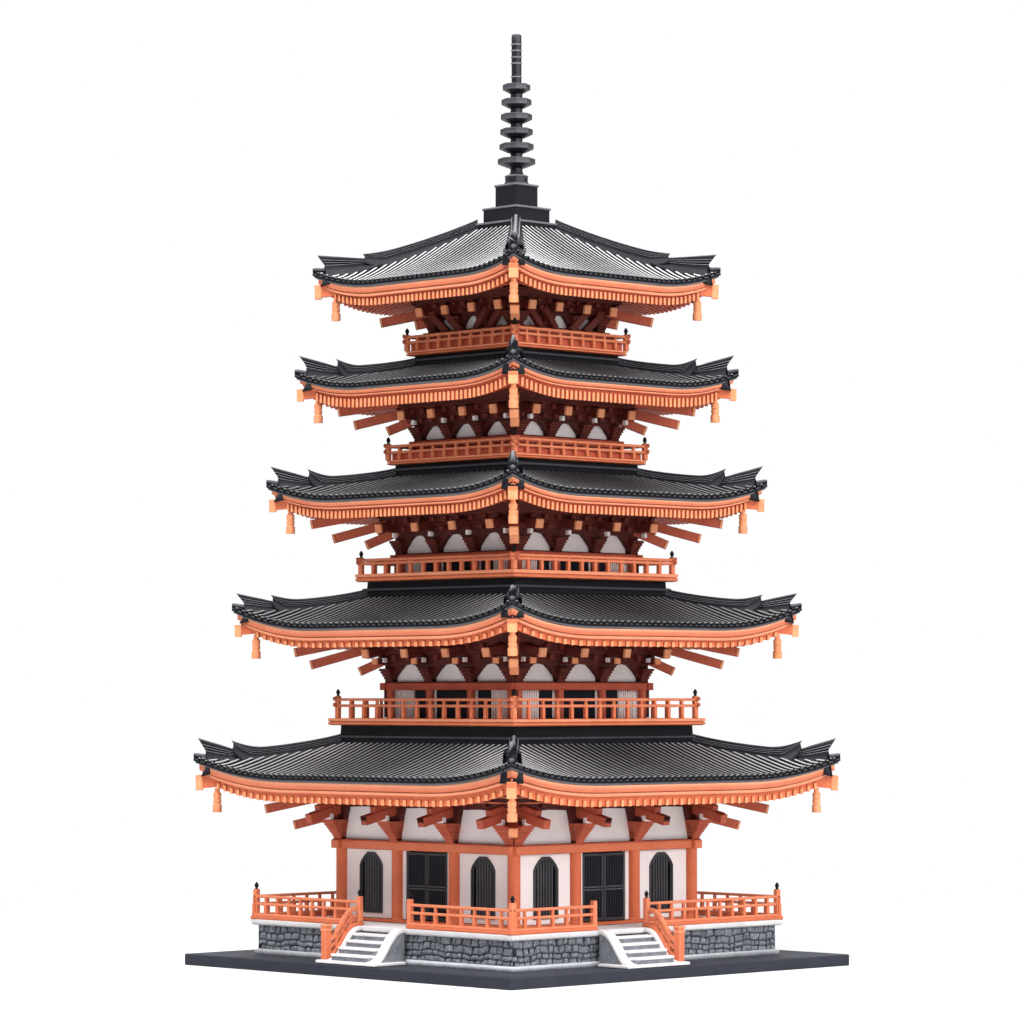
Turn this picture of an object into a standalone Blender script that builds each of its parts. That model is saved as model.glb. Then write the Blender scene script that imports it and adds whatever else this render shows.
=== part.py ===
"""A five-storeyed pagoda: a table-top scale model on a square base plate.

Everything is in metres with +Z up. The origin is at the centre of the underside
of the base plate. The stairs face south (-Y), east (+X), north and west.
"""

import math
from collections import namedtuple

import bmesh
import bpy
from mathutils import Matrix, Vector

MM = 0.001
GAP = 0.3 * MM                 # clearance between pieces that rest on each other
SINK = 0.6 * MM                # overlap of two shapes that are fused into one piece
OFFSET = 0.04 * MM             # keeps the faces of two fused shapes from lying in one plane
QUARTER_TURNS = [math.radians(90 * turn) for turn in range(4)]
SIDE_NAMES = ["south", "east", "north", "west"]
CORNER_NAMES = ["south_east", "north_east", "north_west", "south_west"]

# Base plate and podium
PLATE_SIDE = 226 * MM
PLATE_HEIGHT = 5.4 * MM
PODIUM_SIDE = 175.4 * MM
PODIUM_TOP = 19.2 * MM
PLINTH_STEP = 1.4 * MM         # how far the lowest course stands out
PLINTH_HEIGHT = 2.2 * MM
CAP_SIDE = 181 * MM
CAP_TOP = 22.0 * MM

# Stairs, one on each side, each set off the middle of its side by its own amount,
# seen from outside: to the right on the south and north, to the left on the others
STAIR_OFFSETS = [2 * MM, -18 * MM, 2 * MM, -18 * MM]
STAIR_WIDTH = 35 * MM
STAIR_RUN = 19.5 * MM
STRINGER_WIDTH = 5 * MM
TREAD_COUNT = 4
GROUND_SLAB_HEIGHT = 1.5 * MM
GROUND_SLAB_RUN = 21.5 * MM
GROUND_SLAB_WIDTH = 41 * MM
HANDRAIL_LIFT = 7.2 * MM       # from the stair's edge to the underside of its handrail
HANDRAIL_HEIGHT = 2.0 * MM
HANDRAIL_WIDTH = 2.0 * MM
NEWEL_WIDTH = 3.6 * MM
NEWEL_TOP = 23.4 * MM

# Veranda railing on the podium cap
VERANDA_HALF = 88.4 * MM       # from the axis to the middle of the railing
VERANDA_SILL_TOP = 24.9 * MM
VERANDA_TOP_RAIL = 33.6 * MM
VERANDA_POST_TOP = 38.3 * MM
VERANDA_REACH = 2.4 * MM       # the rails cross and run past the corner posts
RAIL_DEPTH = 1.7 * MM
SILL_WIDTH = 3.4 * MM
RAIL_HEIGHT = 1.2 * MM
POST_WIDTH = 2.2 * MM
BALUSTER_WIDTH = 1.3 * MM
VERANDA_BAY = 18 * MM          # about the distance from one lesser post to the next

# Ground storey
FLOOR_TOP = 23.4 * MM
FLOOR_SIDE = 127 * MM
COLUMN_HALF = 59.2 * MM        # from the axis to the line of column centres
COLUMN_RADIUS = 2.8 * MM
COLUMN_SIDES = 12
DOOR_COLUMN = 19.6 * MM        # from the middle of a side to its inner columns
BEAM_BOTTOM = 56.2 * MM
BEAM_TOP = 60.2 * MM
BEAM_FRONT = 2.2 * MM          # how far the beam stands out past the column centres
BEAM_REACH = 3.0 * MM          # how far it runs on past the corner columns
WALL_THICK = 2.4 * MM
DOOR_HALF_WIDTH = 14.4 * MM
DOOR_THICK = 1.4 * MM
DOOR_PLAY = 0.4 * MM
WINDOW_MIDDLE = 38.6 * MM      # from the middle of a side to the middle of a window
WINDOW_WIDTH = 15.6 * MM
WINDOW_BOTTOM = 26.2 * MM
WINDOW_SPRING = 48.6 * MM
WINDOW_TOP = 54.6 * MM
WINDOW_ARCH = [(1.0, 0.0), (0.86, 0.34), (0.58, 0.74), (0.3, 1.0)]     # shares of half and rise
SHEET_THICK = 0.8 * MM

# Wind bells under the hip rafters
BELL_DROP = 9.2 * MM
BELL_SETBACK = 7.2 * MM         # from the end of the hip rafter, along a side
BELL_RADIUS = 1.5 * MM
BELL_ROD_RADIUS = 0.8 * MM

# Finial
FINIAL_SIDES = 8
ROBAN_TIERS = [(14.9 * MM, 354.3 * MM, 357.4 * MM), (11.3 * MM, 357.4 * MM, 365.0 * MM),
               (7.2 * MM, 365.0 * MM, 376.4 * MM)]
DISC_SPACING = 7.25 * MM
DISC_RADII = [6.7 * MM, 7.3 * MM, 7.6 * MM, 7.9 * MM, 8.3 * MM, 9.1 * MM]
DISC_HEIGHT = 4.6 * MM
LOWEST_DISC = 384.6 * MM       # underside of the lowest disc
NECK_RADIUS = 2.9 * MM
ROD_RADIUS = 2.4 * MM
SOCKET_RADIUS = 5.6 * MM       # of the block that the spire stands in
SOCKET_TOP = 380.6 * MM
SPIRE_TOP = 450 * MM

# One row for each storey, in millimetres. Halves are half sides of a square.
Storey = namedtuple("Storey", [
    "column_half",      # from the axis to the wall, or the ground storey's column centres
    "door_column",      # from the middle of a side to its inner columns
    "spread",           # how far the brackets widen outwards
    "beam_top",         # top of the head beam on the columns
    "arch_top",         # top of the plaster arches between the brackets
    "soffit",           # underside of the eaves at the middle of a side
    "fascia_bottom", "fascia_top",
    "hip_bottom", "hip_top", "hip_half",     # the hip rafter at the corner
    "lift",             # how far the eaves rise towards their corners
    "edge_half",        # edge of the tiles at the middle of a side
    "tip_half",         # edge of the tiles at the corner
    "top_half", "roof_top",                  # where the roof meets what stands on it
    "horn_half", "horn_top",                 # end of the upper hip ridge
    "ridge_end_top",    # upturned end of the lower hip ridge
    "tails",            # (end half, end height, slope) of each tail rafter at a corner
    "side_tail",        # and of the tail rafters over a side's inner columns
])
STOREYS = [
    Storey(59.2, 19.6, 9.0, 60.2, 76.5, 79.0, 83.1, 88.6, 84.4, 90.9, 109.1, 8.2,
           107.1, 109.7, 61.2, 105.7, 96.3, 107.8, 109.0,
           [(85.5, 74.7, 0.22), (75.7, 67.0, 0.26)], (81.0, 70.5, 0.24)),
    Storey(41.8, 14.2, 7.0, 135.4, 144.4, 152.0, 154.8, 160.0, 158.2, 163.1, 96.0, 9.0,
           94.4, 96.8, 52.2, 175.5, 83.0, 177.9, 178.7,
           [(75.7, 149.9, 0.2), (70.2, 143.9, 0.28), (53.5, 140.7, 0.45)], (61.0, 149.2, 0.2)),
    Storey(38.4, 13.0, 7.0, 197.0, 206.2, 213.4, 217.5, 221.1, 218.5, 223.6, 84.4, 7.5,
           82.9, 85.2, 42.7, 233.9, 70.7, 238.8, 240.0,
           [(70.2, 211.7, 0.18), (62.7, 204.7, 0.27), (51.4, 201.6, 0.42)],
           (55.5, 209.2, 0.18)),
    Storey(32.0, 10.9, 7.0, 251.8, 259.0, 266.7, 271.8, 275.1, 272.1, 277.0, 75.0, 7.0,
           73.4, 75.6, 36.1, 287.3, 61.0, 292.2, 293.7,
           [(61.0, 266.1, 0.14), (55.5, 259.6, 0.24), (44.2, 256.7, 0.4)],
           (47.0, 263.6, 0.16)),
    Storey(27.3, 9.3, 6.0, 304.3, 311.2, 315.9, 319.7, 324.6, 321.6, 327.5, 69.0, 6.7,
           66.9, 69.5, 14.9, 354.0, 51.8, 343.0, 342.5,
           [(46.6, 309.3, 0.2), (34.7, 308.1, 0.2)], (39.5, 313.6, 0.2)),
]
LIFT_START = 0.42               # share of a half side where the eaves begin to rise
LIFT_POWER = 2.4
TILE_THICK = 2.4
TILE_OVERHANG = 1.5 * MM
BRACKET_TIERS = 3
BRACKET_FOOT = 5.2
WIDE_SHOULDER = [(1.0, 0.1), (0.92, 0.5), (0.8, 0.97)]     # of the ground storey's arches
STEEP_SHOULDER = [(1.0, 0.2), (0.64, 0.68), (0.38, 0.93)]   # and of the others
UPPER_BEAM_HEIGHT = 2.8
TAIL_WIDTH = 4.2
TAIL_HEIGHT = 4.2
TAIL_ROOT = 1.5                # where a tail starts, out from the wall
SOFFIT_SLOPE = 0.22            # the soffit climbs this much for each metre inwards
FASCIA_SETBACK = 1.2           # the fascia stands this far behind the edge of the tiles
RAFTER_SETBACK = 3.6           # and the rafter tips this far
HIP_WIDTH = 4.6
RIDGE_WIDTH = 3.4
RIDGE_HEIGHT = 4.8

# One row for each balcony, in millimetres, from the second storey up
Balcony = namedtuple("Balcony", [
    "collar_half", "collar_moulding", "collar_top",
    "deck_half", "deck_bottom", "deck_top",
    "rail_half", "top_rail", "post_top", "reach", "bays",
])
BALCONIES = [
    Balcony(61.0, 109.4, 114.9, 64.3, 115.2, 118.4, 60.8, 128.0, 130.6, 2.6, 4),
    Balcony(52.0, 180.0, 183.8, 55.1, 184.1, 187.7, 53.0, 195.1, 197.2, 2.6, 4),
    Balcony(42.5, 237.9, 240.2, 44.4, 240.5, 242.7, 43.8, 250.0, 252.2, 2.4, 3),
    Balcony(35.9, 290.9, 293.0, 37.9, 293.3, 295.6, 37.4, 303.0, 305.0, 2.4, 3),
]
UPPER_WALL_THICK = 2.0
UPPER_COLUMN_RADIUS = 1.7

UNITLESS = ("bays",)

# Colours, roughness and metallic value of each finish
FINISHES = {
    "slate_plate": ((0.045, 0.048, 0.056), 0.55, 0.0),
    "podium_stone": ((0.17, 0.19, 0.20), 0.85, 0.0),
    "white_stone": ((0.62, 0.61, 0.60), 0.7, 0.0),
    "orange_wood": ((0.68, 0.20, 0.09), 0.5, 0.0),
    "red_wood": ((0.30, 0.07, 0.035), 0.6, 0.0),
    "white_plaster": ((0.78, 0.76, 0.76), 0.8, 0.0),
    "black_lacquer": ((0.012, 0.013, 0.016), 0.4, 0.0),
    "black_tile": ((0.02, 0.021, 0.025), 0.45, 0.0),
    "dark_metal": ((0.025, 0.027, 0.033), 0.4, 0.6),
}


def clear_scene():
    """Remove whatever the opened file holds."""
    for item in list(bpy.data.objects):
        bpy.data.objects.remove(item, do_unlink=True)


def make_collection(name):
    collection = bpy.data.collections.new(name)
    bpy.context.scene.collection.children.link(collection)
    return collection


def finish(name):
    """The named finish as a material, made once."""
    material = bpy.data.materials.get(name)
    if material is None:
        colour, roughness, metallic = FINISHES[name]
        material = bpy.data.materials.new(name)
        material.use_nodes = True
        shader = material.node_tree.nodes["Principled BSDF"]
        shader.inputs["Base Color"].default_value = (*colour, 1.0)
        shader.inputs["Roughness"].default_value = roughness
        shader.inputs["Metallic"].default_value = metallic
        material.diffuse_color = (*colour, 1.0)
    return material


def add_object(name, mesh, collection, finish_name=None):
    item = bpy.data.objects.new(name, mesh)
    collection.objects.link(item)
    if finish_name:
        mesh.materials.clear()
        mesh.materials.append(finish(finish_name))
    return item


def mesh_from(bm, name):
    mesh = bpy.data.meshes.new(name)
    bmesh.ops.recalc_face_normals(bm, faces=bm.faces)
    bm.to_mesh(mesh)
    bm.free()
    return mesh


def add_box(bm, low, high, turn=None):
    """Add a box between two corners, turned afterwards by a matrix if one is given."""
    low, high = Vector(low), Vector(high)
    place = Matrix.Translation((low + high) / 2) @ Matrix.Diagonal((*(high - low), 1))
    if turn is not None:
        place = turn @ place
    bmesh.ops.create_cube(bm, size=1, matrix=place)


def add_post(bm, radius, x, y, bottom, top, sides):
    """Add an upright round post."""
    place = Matrix.Translation((x, y, (bottom + top) / 2))
    bmesh.ops.create_cone(bm, cap_ends=True, segments=sides, radius1=radius, radius2=radius,
                          depth=top - bottom, matrix=place)


def box(name, low, high, finish_name, collection=None):
    bm = bmesh.new()
    add_box(bm, low, high)
    return add_object(name, mesh_from(bm, name), collection or PAGODA, finish_name)


def boolean(target, operation, tool):
    """Fuse or cut with a tool object, which stays as a hidden wire guide."""
    tool.hide_render = True
    tool.display_type = "WIRE"
    step = target.modifiers.new(operation.title(), "BOOLEAN")
    step.operation = operation
    step.solver = "EXACT"
    step.object = tool


def fuse(target, *tools):
    for tool in tools:
        boolean(target, "UNION", tool)


def cut(target, *tools):
    for tool in tools:
        boolean(target, "DIFFERENCE", tool)


def turned(name, profile, sides, finish_name, collection=None, half_sides=False):
    """Turn a profile of (radius, height), top to bottom, round the Z axis.

    With four sides and half_sides set, the radii are half sides of squares.
    """
    mesh = bpy.data.meshes.new(name)
    scale = 1 / math.cos(math.pi / sides) if half_sides else 1
    points = [(radius * scale, 0, height) for radius, height in profile]
    mesh.from_pydata(points, [(n, n + 1) for n in range(len(points) - 1)], [])
    item = add_object(name, mesh, collection or PAGODA, finish_name)
    if half_sides:
        item.rotation_euler.z = math.pi / sides
    screw = item.modifiers.new("Turn", "SCREW")
    screw.steps = sides
    screw.render_steps = sides
    screw.use_smooth_shade = False
    screw.use_merge_vertices = True
    screw.merge_threshold = 0.00001
    return item


def outline_mesh(name, outline, holes, thickness):
    """A flat outline with holes in the XY plane, made a plate round that plane."""
    curve = bpy.data.curves.new(name, "CURVE")
    curve.dimensions = "2D"
    curve.fill_mode = "BOTH"
    curve.extrude = thickness / 2
    for loop in [outline, *holes]:
        spline = curve.splines.new("POLY")
        spline.points.add(len(loop) - 1)
        for point, (x, y) in zip(spline.points, loop):
            point.co = (x, y, 0, 1)
        spline.use_cyclic_u = True
    drawn = add_object(name, curve, TOOLS)
    bpy.context.view_layer.update()
    evaluated = drawn.evaluated_get(bpy.context.evaluated_depsgraph_get())
    mesh = bpy.data.meshes.new_from_object(evaluated)
    bpy.data.objects.remove(drawn)
    bpy.data.curves.remove(curve)
    bm = bmesh.new()
    bm.from_mesh(mesh)
    bmesh.ops.remove_doubles(bm, verts=bm.verts, dist=0.000001)
    bmesh.ops.recalc_face_normals(bm, faces=bm.faces)
    bm.to_mesh(mesh)
    bm.free()
    return mesh


def standing(outward, angle):
    """Matrix that stands an XY outline on a side: X along the side, Y up."""
    turn = Matrix.Rotation(angle, 4, "Z")
    upright = Matrix.Rotation(math.radians(90), 4, "X")
    return turn @ Matrix.Translation((0, -outward, 0)) @ upright


def plates(name, mesh, places, collection=None, finish_name=None):
    """Copies of one mesh at several places, as one object."""
    bm = bmesh.new()
    for place in places:
        first = len(bm.verts)
        bm.from_mesh(mesh)
        bm.verts.ensure_lookup_table()
        bmesh.ops.transform(bm, matrix=place, verts=bm.verts[first:])
    return add_object(name, mesh_from(bm, name), collection or TOOLS, finish_name)


def corner_rise(along):
    """Share of the corner lift at a place along a side, from -1 to 1."""
    return max(0.0, (abs(along) - LIFT_START) / (1 - LIFT_START)) ** LIFT_POWER


def mitred_solid(name, profile, storey, finish_name, steps=8):
    """A four-sided solid from a profile of (half side, height), centre to centre.

    Each side is a grid: across it runs the profile, along it the side itself. Points
    rise towards the corners in proportion to how far out they lie, and the outermost
    ones, the edge of the tiles, also reach out to the tip.
    """
    bm = bmesh.new()
    inner, outer = storey.top_half, storey.edge_half
    for angle in QUARTER_TURNS:
        first = len(bm.verts)
        bmesh.ops.create_grid(bm, x_segments=steps, y_segments=len(profile) - 1, size=1)
        bm.verts.ensure_lookup_table()
        side = bm.verts[first:]
        for vert in side:
            along = math.sin(vert.co.x * math.pi / 2)
            half, height = profile[round((vert.co.y + 1) / 2 * (len(profile) - 1))]
            rise = corner_rise(along)
            height += storey.lift * max(0.0, (half - inner) / (outer - inner)) ** 1.5 * rise
            half += (storey.tip_half - outer) * max(0.0, 1 - (outer - half) / TILE_OVERHANG) * rise
            vert.co = (along * half, -half, height)
        bmesh.ops.rotate(bm, verts=side, matrix=Matrix.Rotation(angle, 3, "Z"))
    bmesh.ops.remove_doubles(bm, verts=bm.verts, dist=0.00001)
    bmesh.ops.dissolve_degenerate(bm, edges=bm.edges, dist=0.00001)
    bmesh.ops.triangulate(bm, faces=bm.faces, quad_method="SHORT_EDGE")
    return add_object(name, mesh_from(bm, name), PAGODA, finish_name)


def make_base():
    """Base plate, podium with its lowest course standing out, and the cap slab."""
    half = PLATE_SIDE / 2
    plate = box("base_plate", (-half, -half, 0), (half, half, PLATE_HEIGHT), "slate_plate")
    edge = plate.modifiers.new("Edge", "BEVEL")
    edge.width = 0.5 * MM
    edge.segments = 1
    half = PODIUM_SIDE / 2
    foot = PLATE_HEIGHT + GAP
    turned("podium", [(0, PODIUM_TOP), (half, PODIUM_TOP), (half, foot + PLINTH_HEIGHT),
                      (half + PLINTH_STEP, foot + PLINTH_HEIGHT), (half + PLINTH_STEP, foot),
                      (0, foot)], 4, "podium_stone", half_sides=True)
    half = CAP_SIDE / 2
    box("podium_cap", (-half, -half, PODIUM_TOP + GAP), (half, half, CAP_TOP), "white_stone")


def stair_height(outward):
    """Height of a stair's edge at a distance from the axis: a fall that bulges at the top."""
    share = max(0.0, (outward - CAP_SIDE / 2 - GAP) / STAIR_RUN)
    drop = CAP_TOP - PLATE_HEIGHT - GAP - GROUND_SLAB_HEIGHT
    return CAP_TOP - drop * (share - 0.13 * math.sin(2 * math.pi * share))


def stair_edge(steps=7):
    """Points along a stair's edge, (outward, up), from the cap to the ground slab."""
    start = CAP_SIDE / 2 + GAP
    places = [start + STAIR_RUN * step / steps for step in range(steps + 1)]
    return [(outward, stair_height(outward)) for outward in places]


def stringer_outline():
    """Side view of a stair's edge: outward and up, bulging at the top."""
    start = CAP_SIDE / 2 + GAP
    inner = PODIUM_SIDE / 2 + PLINTH_STEP + GAP
    foot = PLATE_HEIGHT + GAP
    points = [(inner, foot), (inner, PODIUM_TOP - GAP), (start, PODIUM_TOP - GAP)]
    return points + stair_edge() + [(start + STAIR_RUN, foot)]


def tread_outline():
    """Side view of the treads, from the cap down to the slab on the ground."""
    start = CAP_SIDE / 2 + GAP
    foot = PLATE_HEIGHT + GAP
    run = (STAIR_RUN - 1.2 * MM) / TREAD_COUNT
    rise = (CAP_TOP - foot - GROUND_SLAB_HEIGHT) / (TREAD_COUNT + 1)
    points = [(start, foot), (start, CAP_TOP - rise)]
    for tread in range(TREAD_COUNT):
        height = CAP_TOP - rise * (tread + 1)
        points.append((start + run * (tread + 1), height))
        points.append((start + run * (tread + 1), height - rise))
    points.append((start + GROUND_SLAB_RUN, foot + GROUND_SLAB_HEIGHT))
    points.append((start + GROUND_SLAB_RUN, foot))
    return points


def facing_out():
    """Matrix that stands a side view across a side: X outwards, Y up."""
    return Matrix.Rotation(math.radians(-90), 4, "Z") @ Matrix.Rotation(math.radians(90), 4, "X")


def make_stairs():
    """Four flights, each one piece: treads between two curved stringers, and a slab."""
    stringer = outline_mesh("stringer", stringer_outline(), [], STRINGER_WIDTH)
    treads = outline_mesh("treads", tread_outline(), [], STAIR_WIDTH - STRINGER_WIDTH)
    slab_low = PLATE_HEIGHT + GAP
    slab_start = CAP_SIDE / 2 + 2 * MM
    upright = facing_out()
    for number, side in enumerate(SIDE_NAMES):
        middle = Matrix.Translation((STAIR_OFFSETS[number], 0, 0))
        turn = Matrix.Rotation(QUARTER_TURNS[number], 4, "Z") @ middle
        shift = (STAIR_WIDTH - STRINGER_WIDTH) / 2
        edges = [turn @ Matrix.Translation((offset, 0, 0)) @ upright for offset in (-shift, shift)]
        stair = plates("stair_" + side, treads, [turn @ upright], PAGODA, "white_stone")
        stringers = plates("stringers_" + side, stringer, edges)
        bm = bmesh.new()
        half = GROUND_SLAB_WIDTH / 2
        add_box(bm, (-half, -slab_start - GROUND_SLAB_RUN + 1.6 * MM, slab_low),
                (half, -slab_start, slab_low + GROUND_SLAB_HEIGHT - 0.05 * MM), turn)
        slab = add_object("slab_" + side, mesh_from(bm, "slab_" + side), TOOLS)
        fuse(stair, stringers, slab)


def box_tool(name, corners, turn=None):
    """Boxes between pairs of corners, as one tool object."""
    bm = bmesh.new()
    for low, high in corners:
        add_box(bm, low, high, turn)
    return add_object(name, mesh_from(bm, name), TOOLS)


def post_corners(places, half, bottom, top):
    return [((x - half, y - half, bottom), (x + half, y + half, top)) for x, y in places]


def between_posts(start, end, bays):
    """Places of the lesser posts that part a railing into equal bays."""
    return [start + (end - start) * number / bays for number in range(1, bays)]


def handrail_band(lift, height):
    """Side view of a rail that follows the edge of a stair, from the veranda to the newel."""
    edge = [(VERANDA_HALF, CAP_TOP)] + stair_edge()[:-1]
    lower = [(outward, level + lift) for outward, level in edge]
    return lower + [(outward, level + height) for outward, level in reversed(lower)]


def stair_handrail(name, place, away):
    """Sill, handrail, posts and newel over one edge of a stair, as three tool objects.

    The newel stands off to the side that leads away from the treads, 1 or -1 along X.
    """
    bands = []
    for label, lift in (("_low", GAP + OFFSET), ("_high", HANDRAIL_LIFT)):
        mesh = outline_mesh("handrail", handrail_band(lift, HANDRAIL_HEIGHT), [], HANDRAIL_WIDTH)
        bands.append(plates(name + label, mesh, [place @ facing_out()]))
    half = BALUSTER_WIDTH / 2
    corners = []
    for outward in (94.6 * MM, 98.9 * MM, 103.2 * MM):
        level = stair_height(outward)
        corners.append(((-half, -outward - half, level + 1.35 * MM),
                        (half, half - outward, level + HANDRAIL_LIFT + 1.1 * MM)))
    newel = CAP_SIDE / 2 + STAIR_RUN - NEWEL_WIDTH / 2
    half = NEWEL_WIDTH / 2
    middle = away * MM
    corners.append(((middle - half, -newel - half, stair_height(newel - half) + 2 * GAP),
                    (middle + half, half - newel, NEWEL_TOP)))
    return bands + [box_tool(name + "_posts", corners, place)]


def make_veranda_rails():
    """Four railings on the podium cap, each running round one corner to the stairs.

    The two at the corners away from the stairs carry on down the stairs' edges.
    """
    foot = CAP_TOP + GAP
    line = VERANDA_HALF
    reach = VERANDA_HALF + VERANDA_REACH
    rail_bottom = VERANDA_TOP_RAIL - RAIL_HEIGHT
    for number, corner in enumerate(CORNER_NAMES):
        turn = Matrix.Rotation(QUARTER_TURNS[number], 4, "Z")
        name = "veranda_rail_" + corner
        near = corner in ("south_east", "north_west")
        inward = 0 if near else STRINGER_WIDTH / 2
        one = STAIR_WIDTH / 2 + STAIR_OFFSETS[number] - inward
        two = STAIR_WIDTH / 2 - STAIR_OFFSETS[(number + 1) % 4] - inward
        bars = {}
        for level, bottom, top, half in (("sill", foot, VERANDA_SILL_TOP, SILL_WIDTH / 2),
                                         ("top", rail_bottom, VERANDA_TOP_RAIL, RAIL_DEPTH / 2)):
            bars[level] = [((one, -line - half, bottom), (reach, half - line, top)),
                           ((line - half, -reach, bottom - OFFSET),
                            (line + half, -two, top - OFFSET))]
        ends = [inner + POST_WIDTH / 2 + OFFSET for inner in (one, two)]
        places = [(ends[0], -line), (line, -line), (line, -ends[1])]
        posts = post_corners(places, POST_WIDTH / 2, foot + SINK, VERANDA_POST_TOP)
        places = []
        for side, end in enumerate(ends):
            bays = round((line - end) / VERANDA_BAY)
            lesser = between_posts(end, line, bays)
            places += [(line, -spot) if side else (spot, -line) for spot in lesser]
        posts += post_corners(places, BALUSTER_WIDTH / 2, foot + SINK, rail_bottom + SINK)
        bm = bmesh.new()
        add_box(bm, *bars["sill"][0], turn)
        rail = add_object(name, mesh_from(bm, name), PAGODA, "orange_wood")
        fuse(rail, box_tool(name + "_sill", bars["sill"][1:], turn),
             box_tool(name + "_posts", posts, turn),
             box_tool(name + "_top_a", bars["top"][:1], turn),
             box_tool(name + "_top_b", bars["top"][1:], turn))
        if not near:
            quarter = Matrix.Rotation(math.radians(90), 4, "Z")
            first = turn @ Matrix.Translation((ends[0], 0, 0))
            second = turn @ quarter @ Matrix.Translation((-ends[1], 0, 0))
            fuse(rail, *stair_handrail(name + "_first", first, 1),
                 *stair_handrail(name + "_second", second, -1))


def column_places(half, inner):
    """Centres of the twelve columns round a storey, corner columns first."""
    corners = [(x, y) for x in (-half, half) for y in (-half, half)]
    others = [(x, y) for x in (-inner, inner) for y in (-half, half)]
    others += [(x, y) for x in (-half, half) for y in (-inner, inner)]
    return corners + others


def crossed_beams(name, outer, inner, bottom, top, reach, finish_name):
    """A ring of beams: the south and north pair fused with the east and west pair."""
    end = outer + reach
    bars = []
    for first in (0, 1):
        bm = bmesh.new()
        for angle in QUARTER_TURNS[first::2]:
            drop = OFFSET * first
            add_box(bm, (-end, -outer, bottom - drop), (end, -inner, top - drop),
                    Matrix.Rotation(angle, 4, "Z"))
        bars.append(mesh_from(bm, name))
    ring = add_object(name, bars[0], PAGODA, finish_name)
    fuse(ring, add_object(name + "_cross", bars[1], TOOLS))
    return ring


def make_ground_frame():
    """Round columns in front of the walls, carrying a ring of head beams."""
    frame = crossed_beams("ground_frame", COLUMN_HALF + BEAM_FRONT, COLUMN_HALF - WALL_THICK,
                          BEAM_BOTTOM, BEAM_TOP, BEAM_REACH, "orange_wood")
    bm = bmesh.new()
    for x, y in column_places(COLUMN_HALF, DOOR_COLUMN):
        add_post(bm, COLUMN_RADIUS, x, y, FLOOR_TOP + GAP, BEAM_BOTTOM + SINK, COLUMN_SIDES)
    columns = add_object("ground_columns", mesh_from(bm, "ground_columns"), TOOLS)
    fuse(frame, columns)
    inside = COLUMN_HALF
    room = box("ground_room", (-inside, -inside, FLOOR_TOP - SINK),
               (inside, inside, BEAM_BOTTOM - 0.01 * MM), None, TOOLS)
    cut(frame, room)


def window_outline(middle):
    """A bell-shaped window: straight sides, steep shoulders and a small flat top."""
    half = WINDOW_WIDTH / 2
    rise = WINDOW_TOP - WINDOW_SPRING
    arch = [(half * share, WINDOW_SPRING + rise * level) for share, level in WINDOW_ARCH]
    right = [(half, WINDOW_BOTTOM)] + arch
    return ([(middle + across, level) for across, level in right]
            + [(middle - across, level) for across, level in reversed(right)])


def make_corner_walls():
    """Four plastered walls, each round one corner, with a window in either arm."""
    outer = COLUMN_HALF - GAP
    inner = outer - WALL_THICK
    foot = FLOOR_TOP + GAP
    top = BEAM_BOTTOM - GAP
    window = outline_mesh("window_cutter", window_outline(WINDOW_MIDDLE), [], 4 * WALL_THICK)
    for number, corner in enumerate(CORNER_NAMES):
        turn = Matrix.Rotation(QUARTER_TURNS[number], 4, "Z")
        plan = [(DOOR_HALF_WIDTH, -outer), (outer, -outer), (outer, -DOOR_HALF_WIDTH),
                (inner, -DOOR_HALF_WIDTH), (inner, -inner), (DOOR_HALF_WIDTH, -inner)]
        mesh = outline_mesh("corner_wall", plan, [], top - foot)
        place = turn @ Matrix.Translation((0, 0, (foot + top) / 2))
        wall = plates("corner_wall_" + corner, mesh, [place], PAGODA, "white_plaster")
        mirrored = Matrix.Scale(-1, 4, (1, 0, 0))
        places = [turn @ standing(outer, 0), turn @ standing(outer, math.radians(90)) @ mirrored]
        cut(wall, plates("windows_" + corner, window, places))


def make_window_sheet():
    """One dark sheet behind the walls that closes the windows, open at the doors."""
    outer = COLUMN_HALF - WALL_THICK - 2 * GAP
    inner = outer - SHEET_THICK
    top = BEAM_BOTTOM - GAP
    head = top - SHEET_THICK
    sheet = box("window_sheet", (-outer, -outer, FLOOR_TOP + GAP), (outer, outer, top),
                "black_lacquer")
    room = box("sheet_room", (-inner, -inner, 0), (inner, inner, BEAM_TOP), None, TOOLS)
    half = DOOR_HALF_WIDTH + DOOR_PLAY
    far = 2 * COLUMN_HALF
    cut(sheet, room,
        box("doorways_south_north", (-half, -far, 0), (half, far, head), None, TOOLS),
        box("doorways_east_west", (-far, -half, 0), (far, half, head), None, TOOLS))


def make_doors():
    """Two leaves in each doorway. A leaf's origin is on its hinge, at the jamb."""
    outer = COLUMN_HALF - GAP
    bottom = FLOOR_TOP + DOOR_PLAY
    top = BEAM_BOTTOM - DOOR_PLAY - 0.3 * MM
    width = DOOR_HALF_WIDTH - 1.5 * DOOR_PLAY
    for number, side in enumerate(SIDE_NAMES):
        turn = Matrix.Rotation(QUARTER_TURNS[number], 4, "Z")
        for hand, sign in (("left", -1), ("right", 1)):
            bm = bmesh.new()
            start, end = sorted((0, -sign * width))
            add_box(bm, (start, 0, 0), (end, DOOR_THICK, top - bottom))
            name = "door_" + side + "_" + hand
            leaf = add_object(name, mesh_from(bm, name), PAGODA, "black_lacquer")
            hinge = Vector((sign * (DOOR_HALF_WIDTH - DOOR_PLAY), -outer, bottom))
            leaf.location = turn @ hinge
            leaf.rotation_euler.z = QUARTER_TURNS[number]


def in_metres(row):
    """A row of a table with its lengths in metres. Counts and slopes stay."""
    values = {}
    for name, value in row._asdict().items():
        if name == "tails":
            value = [(half * MM, height * MM, slope) for half, height, slope in value]
        elif name == "side_tail":
            value = (value[0] * MM, value[1] * MM, value[2])
        elif name not in UNITLESS:
            value *= MM
        values[name] = value
    return row._replace(**values)


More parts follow.
